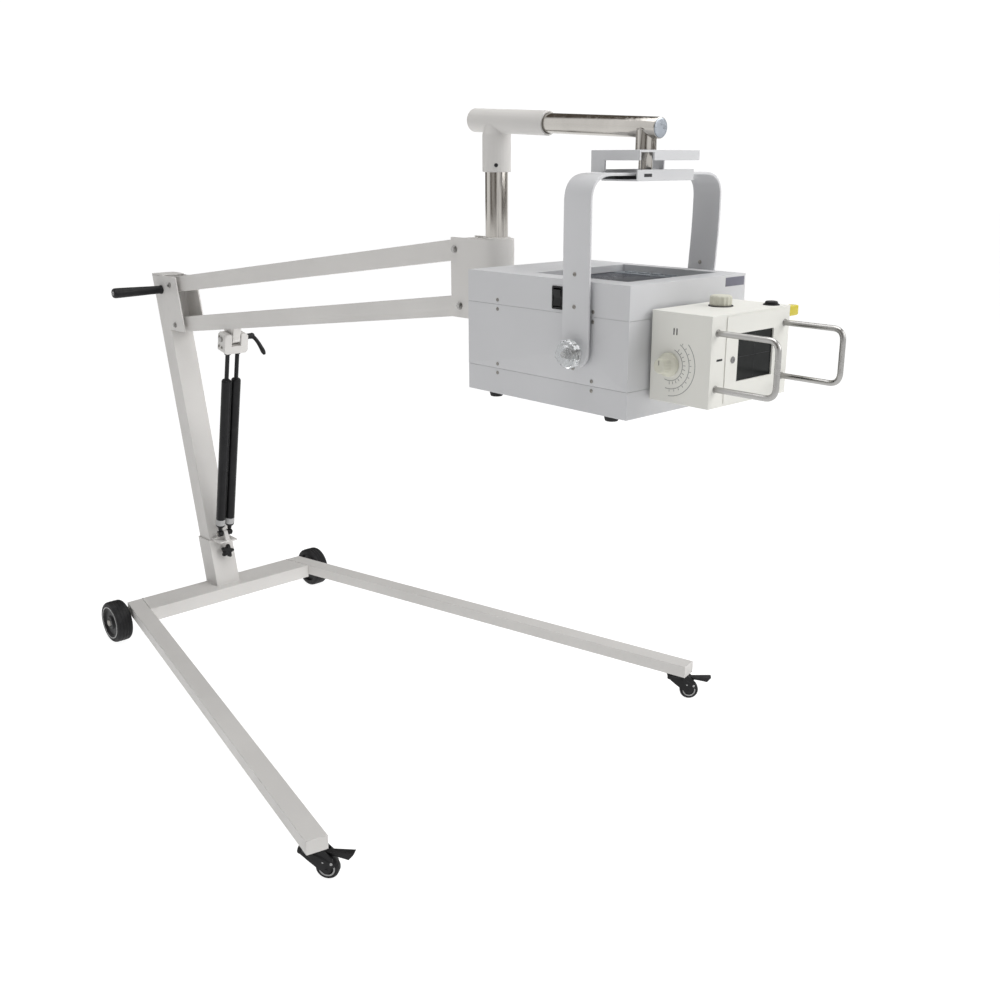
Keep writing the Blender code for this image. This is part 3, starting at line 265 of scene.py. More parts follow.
def hex_head(origin, direction, radius, height):
    """Give a hexagonal head: radius over the flats times 1 / cos of the angle from the nearest flat."""

    def flats(angle, along):
        return 1.0 / np.cos((angle % (TAU / 6)) - TAU / 12) + 0.0 * along

    return lathe([(0.0, 0.0), (radius, 0.0), (radius, height), (0.0, height)], origin, direction, 48, flats)


# --------------------------------------------------------------------------- finishes


class Graph:
    """A short way to add nodes to a material and link them."""

    def __init__(self, name, colour, roughness, metallic):
        self.material = bpy.data.materials.new(name)
        self.material.use_nodes = True
        self.tree = self.material.node_tree
        self.shader = self.tree.nodes["Principled BSDF"]
        self.set("Base Color", (*colour, 1.0))
        self.set("Roughness", roughness)
        self.set("Metallic", metallic)
        self.coords = self.add("ShaderNodeTexCoord").outputs["Object"]

    def add(self, kind, **values):
        """Add a node, with its sockets set by name or linked."""
        node = self.tree.nodes.new(kind)
        for key, value in values.items():
            self.feed(node.inputs[key.replace("_", " ")], value)
        return node

    def feed(self, socket, value):
        """Link a socket to an output, or give it a value."""
        if isinstance(value, bpy.types.NodeSocket):
            self.tree.links.new(value, socket)
        else:
            socket.default_value = value

    def set(self, name, value):
        """Set or link one of the shader's own sockets."""
        self.feed(self.shader.inputs[name], value)

    def noise(self, scale, detail=3.0, stretch=(1.0, 1.0, 1.0)):
        """Give a noise pattern on the object's coordinates, stretched by a factor along each axis."""
        mapping = self.add("ShaderNodeMapping", Vector=self.coords)
        mapping.inputs["Scale"].default_value = stretch
        return self.add(
            "ShaderNodeTexNoise", Vector=mapping.outputs["Vector"], Scale=scale, Detail=detail
        ).outputs["Fac"]

    def span(self, value, low, high, start=0.3, end=0.7):
        """Map a value from one range to another, held at both ends."""
        node = self.add("ShaderNodeMapRange", Value=value)
        for key, number in (("From Min", start), ("From Max", end), ("To Min", low), ("To Max", high)):
            node.inputs[key].default_value = number
        return node.outputs["Result"]

    def blend(self, factor, first, second):
        """Mix two colours by a factor."""
        node = self.tree.nodes.new("ShaderNodeMix")
        node.data_type = "RGBA"
        self.feed(node.inputs["Factor"], factor)
        self.feed(node.inputs["A"], (*first, 1.0) if isinstance(first, tuple) else first)
        self.feed(node.inputs["B"], (*second, 1.0) if isinstance(second, tuple) else second)
        return node.outputs["Result"]

    def relief(self, height, depth, under=None):
        """Raise the surface by a pattern, by a depth in metres."""
        node = self.add("ShaderNodeBump", Height=height, Distance=depth)
        if under is not None:
            self.feed(node.inputs["Normal"], under)
        return node.outputs["Normal"]


def shade(colour, factor):
    """Multiply a colour."""
    return tuple(min(1.0, c * factor) for c in colour)


def coated(name, colour, roughness, grain, depth, mottle=0.035, worn=None):
    """Give painted metal: a fine orange peel, faint clouds of tone, and wear where edges stick out."""
    g = Graph(name, colour, roughness, 0.0)
    clouds = g.span(g.noise(5.0, 4.0), 0.0, 1.0)
    tone = g.blend(clouds, shade(colour, 1.0 - mottle), shade(colour, 1.0 + mottle))
    if worn is not None:
        point = g.add("ShaderNodeNewGeometry").outputs["Pointiness"]
        edge = g.span(point, 0.0, 0.55, 0.56, 0.66)
        patchy = g.span(g.noise(60.0, 5.0), 0.0, 1.0, 0.5, 0.62)
        both = g.add("ShaderNodeMath")
        both.operation = "MULTIPLY"
        g.feed(both.inputs[0], edge)
        g.feed(both.inputs[1], patchy)
        tone = g.blend(both.outputs["Value"], tone, worn)
    g.set("Base Color", tone)
    g.set("Roughness", g.span(g.noise(18.0, 3.0), roughness - 0.06, roughness + 0.08))
    peel = g.relief(g.noise(grain, 2.0), depth)
    g.set("Normal", g.relief(g.noise(14.0, 2.0), depth * 2.0, peel))
    g.set("Specular IOR Level", 0.35)
    return g.material


def plated(name, colour, roughness, stretch, metallic=1.0):
    """Give bright metal: fine drawn lines along one axis and faint smears."""
    g = Graph(name, colour, roughness, metallic)
    lines = g.noise(90.0, 6.0, stretch)
    smears = g.noise(9.0, 4.0)
    g.set("Base Color", g.blend(g.span(smears, 0.0, 1.0), shade(colour, 0.88), shade(colour, 1.06)))
    rough = g.span(lines, roughness * 0.6, roughness * 1.7)
    g.set("Roughness", rough)
    g.set("Normal", g.relief(lines, 0.00004))
    return g.material


def moulded(name, colour, roughness, grain, depth, mottle=0.06):
    """Give moulded plastic or rubber: a fine texture, with lighter rubbed patches."""
    g = Graph(name, colour, roughness, 0.0)
    rubbed = g.span(g.noise(26.0, 5.0), 0.0, 1.0, 0.45, 0.75)
    g.set("Base Color", g.blend(rubbed, colour, tuple(c + mottle * 0.35 for c in colour)))
    g.set("Roughness", g.span(g.noise(40.0, 4.0), roughness - 0.08, roughness + 0.1))
    g.set("Specular IOR Level", 0.22)
    cells = g.add("ShaderNodeTexVoronoi", Vector=g.coords, Scale=grain).outputs["Distance"]
    g.set("Normal", g.relief(cells, depth))
    return g.material


def once(name, make):
    """Return a finish by name, and make it the first time."""

    def look():
        return bpy.data.materials.get(name) or make(name)

    return look


def panel_glass(name):
    """Give the dark display: a glossy sheet with finger smears and a faint fine grid below it."""
    g = Graph(name, (0.055, 0.06, 0.072), 0.16, 0.0)
    rows = g.noise(3.0, 2.0, (1.0, 14.0, 1.0))
    g.set("Base Color", g.blend(g.span(rows, 0.0, 1.0), (0.034, 0.038, 0.050), (0.048, 0.053, 0.066)))
    g.set("Roughness", g.span(g.noise(11.0, 5.0), 0.20, 0.42))
    g.set("Specular IOR Level", 0.12)
    g.set("Normal", g.relief(g.noise(7.0, 1.0), 0.00015))
    return g.material


def window_pane(name):
    """Give the beam window: clear plastic drawn as a near-black sheet with a soft haze; the near-black is
    painted shade from the dark inside of the housing.
    """
    g = Graph(name, (0.012, 0.013, 0.013), 0.07, 0.0)
    haze = g.noise(16.0, 4.0)
    g.set("Base Color", g.blend(g.span(haze, 0.0, 1.0), (0.010, 0.011, 0.011), (0.022, 0.024, 0.023)))
    g.set("Roughness", g.span(g.noise(22.0, 4.0), 0.05, 0.18))
    g.set("Specular IOR Level", 0.10)
    g.set("Normal", g.relief(g.noise(9.0, 1.0), 0.0001))
    return g.material


def acrylic(name):
    """Give clear acrylic: it lets light through, with faint tool lines and cloudy spots."""
    g = Graph(name, (0.90, 0.92, 0.93), 0.10, 0.0)
    g.set("Transmission Weight", 0.82)
    g.set("IOR", 1.49)
    g.set("Roughness", g.span(g.noise(30.0, 4.0), 0.04, 0.22))
    g.set(
        "Base Color", g.blend(g.span(g.noise(24.0, 3.0), 0.0, 1.0), (0.84, 0.87, 0.88), (0.95, 0.96, 0.97))
    )
    g.set("Normal", g.relief(g.noise(70.0, 2.0, (1.0, 8.0, 8.0)), 0.0001))
    return g.material


def painted_looks(colours):
    """Make every finish from the panel's colours."""
    frame_paint = tuple(colours.stand)
    case_paint = tuple(colours.case)
    cream = tuple(colours.collimator)
    beige = tuple(colours.knob)
    yellow = tuple(colours.latch)
    worn = (0.42, 0.41, 0.39)
    scuffed = (0.55, 0.55, 0.56)
    return {
        "frame": once(
            "stand_powder_coat", lambda n: coated(n, frame_paint, 0.46, 420.0, 0.0001, 0.035, worn)
        ),
        "case": once(
            "case_powder_coat", lambda n: coated(n, case_paint, 0.44, 520.0, 8e-5, 0.022, scuffed)
        ),
        "cream": once(
            "collimator_paint", lambda n: coated(n, cream, 0.50, 360.0, 0.00012, 0.03, (0.55, 0.53, 0.48))
        ),
        "yoke": once(
            "yoke_powder_coat",
            lambda n: coated(n, shade(case_paint, 1.02), 0.38, 480.0, 8e-5, 0.025, scuffed),
        ),
        "steel": once("drawn_steel", lambda n: plated(n, (0.40, 0.395, 0.385), 0.26, (1.0, 0.06, 1.0))),
        "dark_steel": once("dull_steel", lambda n: plated(n, (0.30, 0.29, 0.27), 0.38, (1.0, 1.0, 0.1))),
        "chrome": once("chrome_plate", lambda n: plated(n, (0.50, 0.48, 0.45), 0.13, (1.0, 1.0, 0.05))),
        "cap": once("tube_cap_steel", lambda n: plated(n, (0.36, 0.39, 0.43), 0.34, (1.0, 1.0, 1.0))),
        "black": once(
            "moulded_black", lambda n: moulded(n, (0.010, 0.010, 0.011), 0.42, 900.0, 0.00010, 0.03)
        ),
        "tyre": once(
            "tyre_rubber", lambda n: moulded(n, (0.012, 0.012, 0.013), 0.62, 700.0, 0.00020, 0.05)
        ),
        "spring": once(
            "spring_enamel", lambda n: moulded(n, (0.006, 0.006, 0.007), 0.34, 400.0, 0.00003, 0.02)
        ),
        "ring": once(
            "wheel_ring_grey", lambda n: moulded(n, (0.40, 0.40, 0.40), 0.45, 800.0, 0.00005, 0.1)
        ),
        # Near-black print, also used as painted shade in the case seams and the hanger slot.
        "print": once(
            "printed_grey", lambda n: moulded(n, (0.030, 0.030, 0.033), 0.55, 900.0, 0.00002, 0.05)
        ),
        "scale": once("scale_print", lambda n: moulded(n, (0.26, 0.26, 0.26), 0.55, 900.0, 0.00002, 0.05)),
        "label": once("blank_label", lambda n: moulded(n, (0.17, 0.17, 0.21), 0.50, 500.0, 0.00002, 0.08)),
        "beige": once("knob_beige", lambda n: moulded(n, beige, 0.48, 800.0, 0.00006, 0.05)),
        "yellow": once("latch_yellow", lambda n: moulded(n, yellow, 0.36, 700.0, 0.00004, 0.05)),
        "control": once(
            "control_strip", lambda n: moulded(n, (0.24, 0.26, 0.28), 0.42, 600.0, 0.00003, 0.05)
        ),
        "board": once("circuit_board", lambda n: moulded(n, (0.04, 0.20, 0.09), 0.50, 300.0, 0.00030, 0.1)),
        "screen": once("display_glass", panel_glass),
        "window": once("window_plastic", window_pane),
        "acrylic": once("clear_acrylic_knob", acrylic),
    }


LOOKS = {}


# --------------------------------------------------------------------------- settings


def number(name, about, default, unit="LENGTH"):
    """Give a length setting."""
    return bpy.props.FloatProperty(name=name, description=about, default=default, unit=unit, precision=4)


def colour(name, about, default):
    """Give a colour setting."""
    return bpy.props.FloatVectorProperty(
        name=name, description=about, default=default, subtype="COLOR", size=3, min=0.0, max=1.0
    )


class XRAY_PG_colours(bpy.types.PropertyGroup):
    """Colours of the painted and moulded pieces."""

    stand: colour("Stand", "Powder coat of the stand", (0.67, 0.655, 0.635))
    case: colour("Case", "Powder coat of the generator's case", (0.62, 0.623, 0.636))
    collimator: colour("Collimator", "Paint of the collimator", (0.76, 0.755, 0.71))
    knob: colour("Knobs", "Plastic of the collimator's knobs", (0.47, 0.46, 0.39))
    latch: colour("Latch", "Plastic of the latch", (0.52, 0.42, 0.02))


class XRAY_PG_sizes(bpy.types.PropertyGroup):
    """Sizes of the fine details."""

    tube_corner: number("Tube corner", "Corner radius of the stand's tubes", 0.0035)
    sheet_corner: number("Sheet corner", "Edge radius of the case's folded sheet", 0.0022)
    ring_radius: number("Wheel ring", "Middle radius of the grey ring on a rear wheel", 0.0475)
    ring_width: number("Ring width", "Width of that ring", 0.0028)
    screw_radius: number("Case screw", "Radius of the case's screw heads", 0.0036)
    foot_height: number("Foot height", "Height of the rubber feet under the case", 0.012)
    line_width: number("Printed line", "Width of the printed lines on the collimator", 0.0012)


class XRAY_OT_base(bpy.types.Operator):
    """Round the tubes of the base and lay the weld beads."""

    bl_idname = "xray.base"
    bl_label = "Base frame"

    def execute(self, context):
        corner = context.scene.xray_sizes.tube_corner
        for node in ("rear_crossbar", "left_leg", "right_leg", "column_socket", "column"):
            refined(node, "base", "frame", corner)
        refined("arm_clevis", "base", "frame", 0.0014)
        refined("spring_anchor", "base", "frame", 0.0012)
        for label, side in SIDES:
            refined(f"{label}_axle", "base", "dark_steel", 0.0008)
            bead = np.linspace(0.0, 1.0, 60)[:, None]
            start = at(side * 0.2602, -0.001, 0.0004)
            end = at(side * 0.2817, -0.0995, 0.0004)
            path = start + (end - start) * bead
            swell = 1.0 + 0.18 * np.sin(bead * 90.0)
            put(
                f"{label}_weld_bead",
                tube(path, circle(0.0017, 8), (1, 0, 0), np.hstack([swell, swell])),
                "base",
                "frame",
            )
        low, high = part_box("column_socket")
        foot = REAR - 0.0706
        loop = [(low.x, REAR), (low.x, foot), (high.x, foot), (high.x, REAR)]
        outline = fillet(loop, 0.006, 6, closed=True)
        path = np.column_stack([outline, np.full(len(outline), TOP + 0.0006)])
        bead = np.concatenate([path, path[:1]])
        ring = tube(bead, circle(0.0024, 8), (0, 0, 1))
        put("socket_weld_bead", ring[:-1], "base", "frame", wrap=True)
        return {"FINISHED"}


class XRAY_OT_rear_wheels(bpy.types.Operator):
    """Turn the rear wheels: grooved tyre, recessed hub, grey ring and cap."""

    bl_idname = "xray.rear_wheels"
    bl_label = "Rear wheels"

    def execute(self, context):
        sizes = context.scene.xray_sizes
        for label, side in SIDES:
            low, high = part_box(f"{label}_tyre")
            width = high.x - low.x
            radius = (high.z - low.z) / 2.0
            inner = (low.x if side > 0 else high.x, (low.y + high.y) / 2.0, (low.z + high.z) / 2.0)
            out = (side, 0.0, 0.0)
            rim = 0.0455
            shoulder = [
                (rim, 0.0015), (rim + 0.006, 0.0), (radius - 0.004, 0.0012), (radius - 0.0006, 0.006)
            ]
            groove = []
            for step in (0.30, 0.50, 0.70):
                place = width * step
                groove += [(radius, place - 0.0016), (radius - 0.0012, place - 0.0007)]
                groove += [(radius - 0.0012, place + 0.0007), (radius, place + 0.0016)]
            outer = [(radius - 0.0006, width - 0.006), (radius - 0.004, width - 0.0012)]
            outer += [(rim + 0.006, width), (rim, width - 0.0015)]
            profile = fillet(shoulder + groove + outer, 0.0022, 3)
            put(
                f"{label}_rear_tyre",
                lathe(profile, inner, out, 96),
                f"{label}_wheel",
                "tyre",
                wrap=True,
                nodes=(f"{label}_tyre",),
            )
            hub = [
                (0.0, 0.004),
                (0.016, 0.004),
                (0.018, 0.009),
                (rim - 0.0004, 0.009),
                (rim - 0.0004, width - 0.002),
            ]
            hub += [(rim - 0.004, width - 0.001), (rim - 0.0075, width - 0.006), (0.022, width - 0.007)]
            hub += [
                (0.018, width - 0.002),
                (0.013, width - 0.001),
                (0.011, width - 0.0035),
                (0.0, width - 0.0035),
            ]
            put(
                f"{label}_rear_hub",
                lathe(fillet(hub, 0.0012, 3), inner, out, 96),
                f"{label}_wheel",
                "black",
                nodes=(f"{label}_hub",),
            )
            middle = sizes.ring_radius
            half = sizes.ring_width / 2.0
            ring = [(middle - half, width - 0.001), (middle - half, width + 0.0004)]
            ring += [(middle + half, width + 0.0004), (middle + half, width - 0.001)]
            put(f"{label}_wheel_ring", lathe(ring, inner, out, 96), f"{label}_wheel", "ring", wrap=True)
            cap = [
                (0.0, width - 0.0035),
                (0.0085, width - 0.0035),
                (0.0085, width - 0.001),
                (0.006, width + 0.0004),
                (0.0, width + 0.0006),
            ]
            put(
                f"{label}_wheel_cap", lathe(fillet(cap, 0.001, 3), inner, out, 48), f"{label}_wheel", "ring"
            )
        return {"FINISHED"}


class XRAY_OT_casters(bpy.types.Operator):
    """Build the braked casters: hood, wheel, rivets and pedal."""

    bl_idname = "xray.casters"
    bl_label = "Casters"

    def execute(self, context):
        for label, _side in SIDES:
            joints = {joint["name"]: joint for joint in frame["joints"]}
            swivel = np.array(joints[f"{label}_caster_swivel"]["pos_m"])
            roll = np.array(joints[f"{label}_caster_roll"]["pos_m"])
            across = np.array(joints[f"{label}_caster_roll"]["axis"])
            swivel[2] = 0.0
            trail = roll - swivel
            trail[2] = 0.0
            reach = np.linalg.norm(trail)
            ahead = trail / reach
            up = np.array([0.0, 0.0, 1.0])
            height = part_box(f"{label}_caster_fork")[1].z

            def spot(along, aside, level):
                return swivel + ahead * along + across * aside + up * level

            t = np.linspace(0.0, 1.0, 28)
            spine_x = -0.026 + 0.078 * t
            spine_z = height - 0.010 - 0.030 * t**2.2
            path = swivel + ahead * spine_x[:, None] + up * spine_z[:, None]
            grow = np.sqrt(np.clip(1.0 - (2.0 * t - 1.0) ** 4, 0.02, 1.0))
            half_round = np.linspace(0.0, math.pi, 18)
            outer = np.stack([0.0175 * np.cos(half_round), 0.0095 * np.sin(half_round)], axis=1)
            inner = np.stack([0.0135 * np.cos(half_round[::-1]), 0.0055 * np.sin(half_round[::-1])], axis=1)
            section = np.concatenate(
                [outer, [(-0.0172, -0.006), (-0.0138, -0.006)], inner, [(0.0138, -0.006), (0.0172, -0.006)]]
            )
            hood = tube(
                path, section * [1.0, 1.0], across, np.column_stack([0.75 + 0.25 * grow, 0.5 + 0.5 * grow])
            )
            put(f"{label}_caster_hood", hood, f"{label}_caster", "black")
            refined(f"{label}_caster_fork", f"{label}_caster", "black", 0.0008)
            half = 0.0098
            radius = roll[2] - 0.0002
            profile = [
                (0.0, -half + 0.002), (0.006, -half + 0.002), (0.007, -half + 0.004), (0.014, -half + 0.004)
            ]
            profile += [
                (0.0155, -half), (radius - 0.003, -half), (radius, -half + 0.0035), (radius, half - 0.0035)
            ]
            profile += [
                (radius - 0.003, half), (0.0155, half), (0.014, half - 0.004), (0.007, half - 0.004)
            ]
            profile += [(0.006, half - 0.002), (0.0, half - 0.002)]
            wheel = lathe(fillet(profile, 0.0012, 3), roll, across, 72)
            put(f"{label}_caster_tyre", wheel, f"{label}_roller", "tyre", nodes=(f"{label}_caster_wheel",))
            rings = []
            for face in (-1.0, 1.0):
                level = face * (half + 0.0003)
                inside = face * (half - 0.001)
                ring = [(0.0140, inside), (0.0140, level), (0.0170, level), (0.0170, inside)]
                rings.append(lathe(ring, roll, across, 64))
            put(f"{label}_caster_rings", rings, f"{label}_roller", "ring", wrap=True)
            rivets = []
            for face in (-1.0, 1.0):
                for along, level in ((reach - 0.006, roll[2] + 0.0190), (reach + 0.011, roll[2] + 0.0155)):
                    dome = [(0.0, 0.0), (0.0034, 0.0), (0.0030, 0.0010), (0.0016, 0.0017), (0.0, 0.0019)]
                    rivets.append(lathe(dome, spot(along, face * 0.0154, level), across * face, 20))
            put(f"{label}_caster_rivets", rivets, f"{label}_caster", "ring")
            t = np.linspace(0.0, 1.0, 36)[:, None]
            corners = [(-0.0112, -1.0), (0.0112, -1.0), (0.0112, 1.0), (-0.0112, 1.0)]
            blade = fillet(corners, 0.25, 4, closed=True)
            broad = blade[None, :, 0] * (0.6 + 0.4 * t)
            upright = blade[None, :, 1] * (0.0030 + 0.0042 * t**1.6)
            level = 0.0600 - 0.0030 * t**1.6 + upright
            span = 0.022 + 0.064 * t + 0.85 * upright * t
            pedal = swivel + ahead * span[..., None] + across * broad[..., None] + up * level[..., None]
            put(f"{label}_pedal_blade", pedal, f"{label}_brake", "black", nodes=(f"{label}_brake_pedal",))
        return {"FINISHED"}


class XRAY_OT_grip(bpy.types.Operator):
    """Turn the push grip and the star knob on the socket."""

    bl_idname = "xray.grip"
    bl_label = "Grip and knob"

    def execute(self, context):
        low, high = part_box("push_grip")
        start = (high.x, (low.y + high.y) / 2.0, (low.z + high.z) / 2.0 - 0.001)
        length = high.x - low.x
        profile = [
            (0.0, 0.0), (0.0135, 0.0), (0.0135, 0.004), (0.0120, 0.006), (0.0125, 0.040), (0.0138, 0.090)
        ]
        profile += [
            (0.0150, length - 0.016),
            (0.0150, length - 0.006),
            (0.0125, length - 0.0006),
            (0.0060, length - 0.0006),
        ]
        profile += [(0.0045, length - 0.003), (0.0, length - 0.003)]
        profile = fillet(profile, 0.004, 5)

        def ridged(angle, along):
            return 1.0 + 0.012 * np.cos(24.0 * angle) * (along > 0.012) * (along < 0.135)

        grip = lathe(profile, start, (-1.0, 0.0, 0.0), 64, ridged)
        put("push_grip_rubber", grip, "base", "black", nodes=("push_grip",))
        ring = lathe(circle(0.0016, 10) + [0.0045, length - 0.0008], start, (-1.0, 0.0, 0.0), 32)
        put("push_grip_plug", ring, "base", "ring", wrap=True)
        joints = {joint["name"]: joint for joint in frame["joints"]}
        joint = joints["socket_clamp_turn"]
        lobes = [
            (0.0, 0.0), (0.0075, 0.0), (0.0075, 0.013), (0.0150, 0.0145), (0.0170, 0.018), (0.0170, 0.028)
        ]
        lobes += [(0.0145, 0.032), (0.0065, 0.033), (0.0, 0.033)]

        def star(angle, along):
            return 1.0 + 0.28 * np.cos(5.0 * angle) * np.clip((along - 0.012) / 0.004, 0.0, 1.0)

        knob = lathe(fillet(lobes, 0.003, 4), joint["pos_m"], joint["axis"], 80, star)
        put("socket_star_knob", knob, "socket_clamp", "black", nodes=("socket_knob",))
        return {"FINISHED"}


class XRAY_OT_arm(bpy.types.Operator):
    """Round the two bars and fit their pivot bolts, washers and nuts."""

    bl_idname = "xray.arm"
    bl_label = "Parallelogram arm"

    def execute(self, context):
        refined("upper_bar", "upper_arm", "frame", 0.0022)
        refined("lower_bar", "lower_arm", "frame", 0.0022)
        for node, body in (
            ("upper_rear_bolt", "base"),
            ("lower_rear_bolt", "base"),
            ("upper_front_bolt", "head"),
            ("lower_front_bolt", "head"),
        ):
            low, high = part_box(node)
            y, z = (low.y + high.y) / 2.0, (low.z + high.z) / 2.0
            left, right = (-1.0, 0.0, 0.0), (1.0, 0.0, 0.0)
            inner = 0.0062
            shaft = lathe(
                [
                    (0.0, 0.0),
                    (0.0058, 0.0),
                    (0.0058, high.x - low.x - 0.008),
                    (0.0, high.x - low.x - 0.008),
                ],
                (low.x + 0.004, y, z),
                right,
                32,
            )
            washers = [(0.0, 0.0), (0.0086, 0.0), (0.0086, 0.0013), (0.0, 0.0013)]
            pieces = [
                shaft,
                lathe(washers, (low.x + inner, y, z), left, 40),
                lathe(washers, (high.x - inner, y, z), right, 40),
            ]
            pieces.append(hex_head((low.x + inner - 0.0013, y, z), left, 0.0060, 0.0037))
            pieces.append(hex_head((high.x - inner + 0.0013, y, z), right, 0.0060, 0.0042))
            thread = np.linspace(0.0, 0.0032, 14)
            thread_profile = np.column_stack([0.0040 + 0.0003 * np.cos(thread * TAU / 0.0008), thread])
            thread_profile = np.concatenate([[(0.0, 0.0)], thread_profile, [(0.0, 0.0032)]])
            pieces.append(lathe(thread_profile, (low.x + 0.0033, y, z), left, 24))
            put(f"{node}_set", pieces, body, "steel", nodes=(node,))
        return {"FINISHED"}


class XRAY_OT_springs(bpy.types.Operator):
    """Turn the gas springs and finish the clevis block and its lever."""

    bl_idname = "xray.springs"
    bl_label = "Gas springs"

    def execute(self, context):
        joints = {joint["name"]: joint for joint in frame["joints"]}
        axis = np.array(joints["spring_stroke"]["axis"])
        foot = np.array(joints["spring_swing"]["pos_m"])
        head = np.array(joints["clamp_lever_turn"]["pos_m"])
        length = np.linalg.norm(head - foot)
        for label, _side in SIDES:
            low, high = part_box(f"{label}_spring_rod")
            origin = foot + np.array([(low.x + high.x) / 2.0 - foot[0], 0.0, 0.0])
            body = [(0.0, 0.012), (0.0062, 0.012), (0.0068, 0.020), (0.0105, 0.024), (0.0143, 0.029)]
            body += [(0.0143, 0.512), (0.0120, 0.5165), (0.0078, 0.5175), (0.0074, 0.5195), (0.0, 0.5195)]
            put(
                f"{label}_gas_cylinder",
                [
                    lathe(fillet(body, 0.002, 4), origin, axis, 64),
                    lathe(
                        fillet(
                            [(0.0, -0.0065), (0.0098, -0.0065), (0.0098, 0.0065), (0.0, 0.0065)], 0.001, 3
                        ),
                        origin,
                        (1, 0, 0),
                        40,
                    ),
                ],
                "spring_cylinders",
                "spring",
                nodes=(f"{label}_spring_cylinder",),
            )
            band = [(0.0138, 0.033), (0.01445, 0.033), (0.01445, 0.052), (0.0138, 0.052)]
            put(
                f"{label}_spring_band", lathe(band, origin, axis, 64), "spring_cylinders", "ring", wrap=True
            )
            rod_end = length - 0.0395
            rod = [(0.0, 0.335), (0.0063, 0.335), (0.0063, rod_end - 0.010), (0.0095, rod_end - 0.009)]
            rod += [(0.0100, rod_end), (0.0, rod_end)]
            put(
                f"{label}_gas_rod",
                lathe(fillet(rod, 0.001, 3), origin, axis, 48),
                "spring_rods",
                "spring",
                nodes=(f"{label}_spring_rod",),
            )
        refined("spring_lower_pin", "base", "dark_steel", 0.0006)
        refined("spring_clevis", "spring_rods", "frame", 0.0022)
        screws = []
        for along, deep in ((0.004, 0.012), (-0.024, -0.004), (-0.024, 0.012)):
            origin = head + axis * along + np.cross(axis, (1.0, 0.0, 0.0)) * deep + np.array(
                [-0.0377, 0.0, 0.0]
            )
            screws.append(disc_screw(origin, (-1, 0, 0), 0.0042, 0.0026))
        put("clevis_screws", screws, "spring_rods", "dark_steel")
        hub_x = head[0] + 0.0385
        hub = [
            (0.0, 0.0),
            (0.0080, 0.0),
            (0.0088, 0.002),
            (0.0082, 0.014),
            (0.0092, 0.026),
            (0.0070, 0.030),
            (0.0, 0.030),
        ]
        start = np.array([hub_x + 0.0200, head[1], head[2]])
        tip = start + np.array([0.30, -0.56, -0.77]) * 0.068
        bend = start + np.array([0.014, -0.006, -0.001])
        t = np.linspace(0.0, 1.0, 24)[:, None]
        path = (1 - t) ** 2 * start + 2 * t * (1 - t) * bend + t**2 * tip
        size = 0.86 + 0.30 * (2 * t - 1) ** 2
        size[-3:] *= np.array([[0.97], [0.8], [0.45]])
        arm = tube(path, circle(0.0066, 20), (0.7, 0.7, 0.0), np.hstack([size, size]))
        lever = [lathe(fillet(hub, 0.001, 3), (hub_x, head[1], head[2]), (1, 0, 0), 40), arm]
        put("clamp_lever_handle", lever, "clamp_lever", "black", nodes=("clevis_lever",))
        stud = lathe(
            [(0.0, -0.0765), (0.0046, -0.0765), (0.0046, 0.003), (0.0, 0.003)],
            (head[0] - 0.0378, *head[1:]),
            (-1, 0, 0),
            32,
        )
        nut = hex_head((head[0] - 0.0378, *head[1:]), (-1, 0, 0), 0.0066, 0.0055)
        put("clamp_stud_nut", [stud, nut], "clamp_lever", "steel")
        return {"FINISHED"}


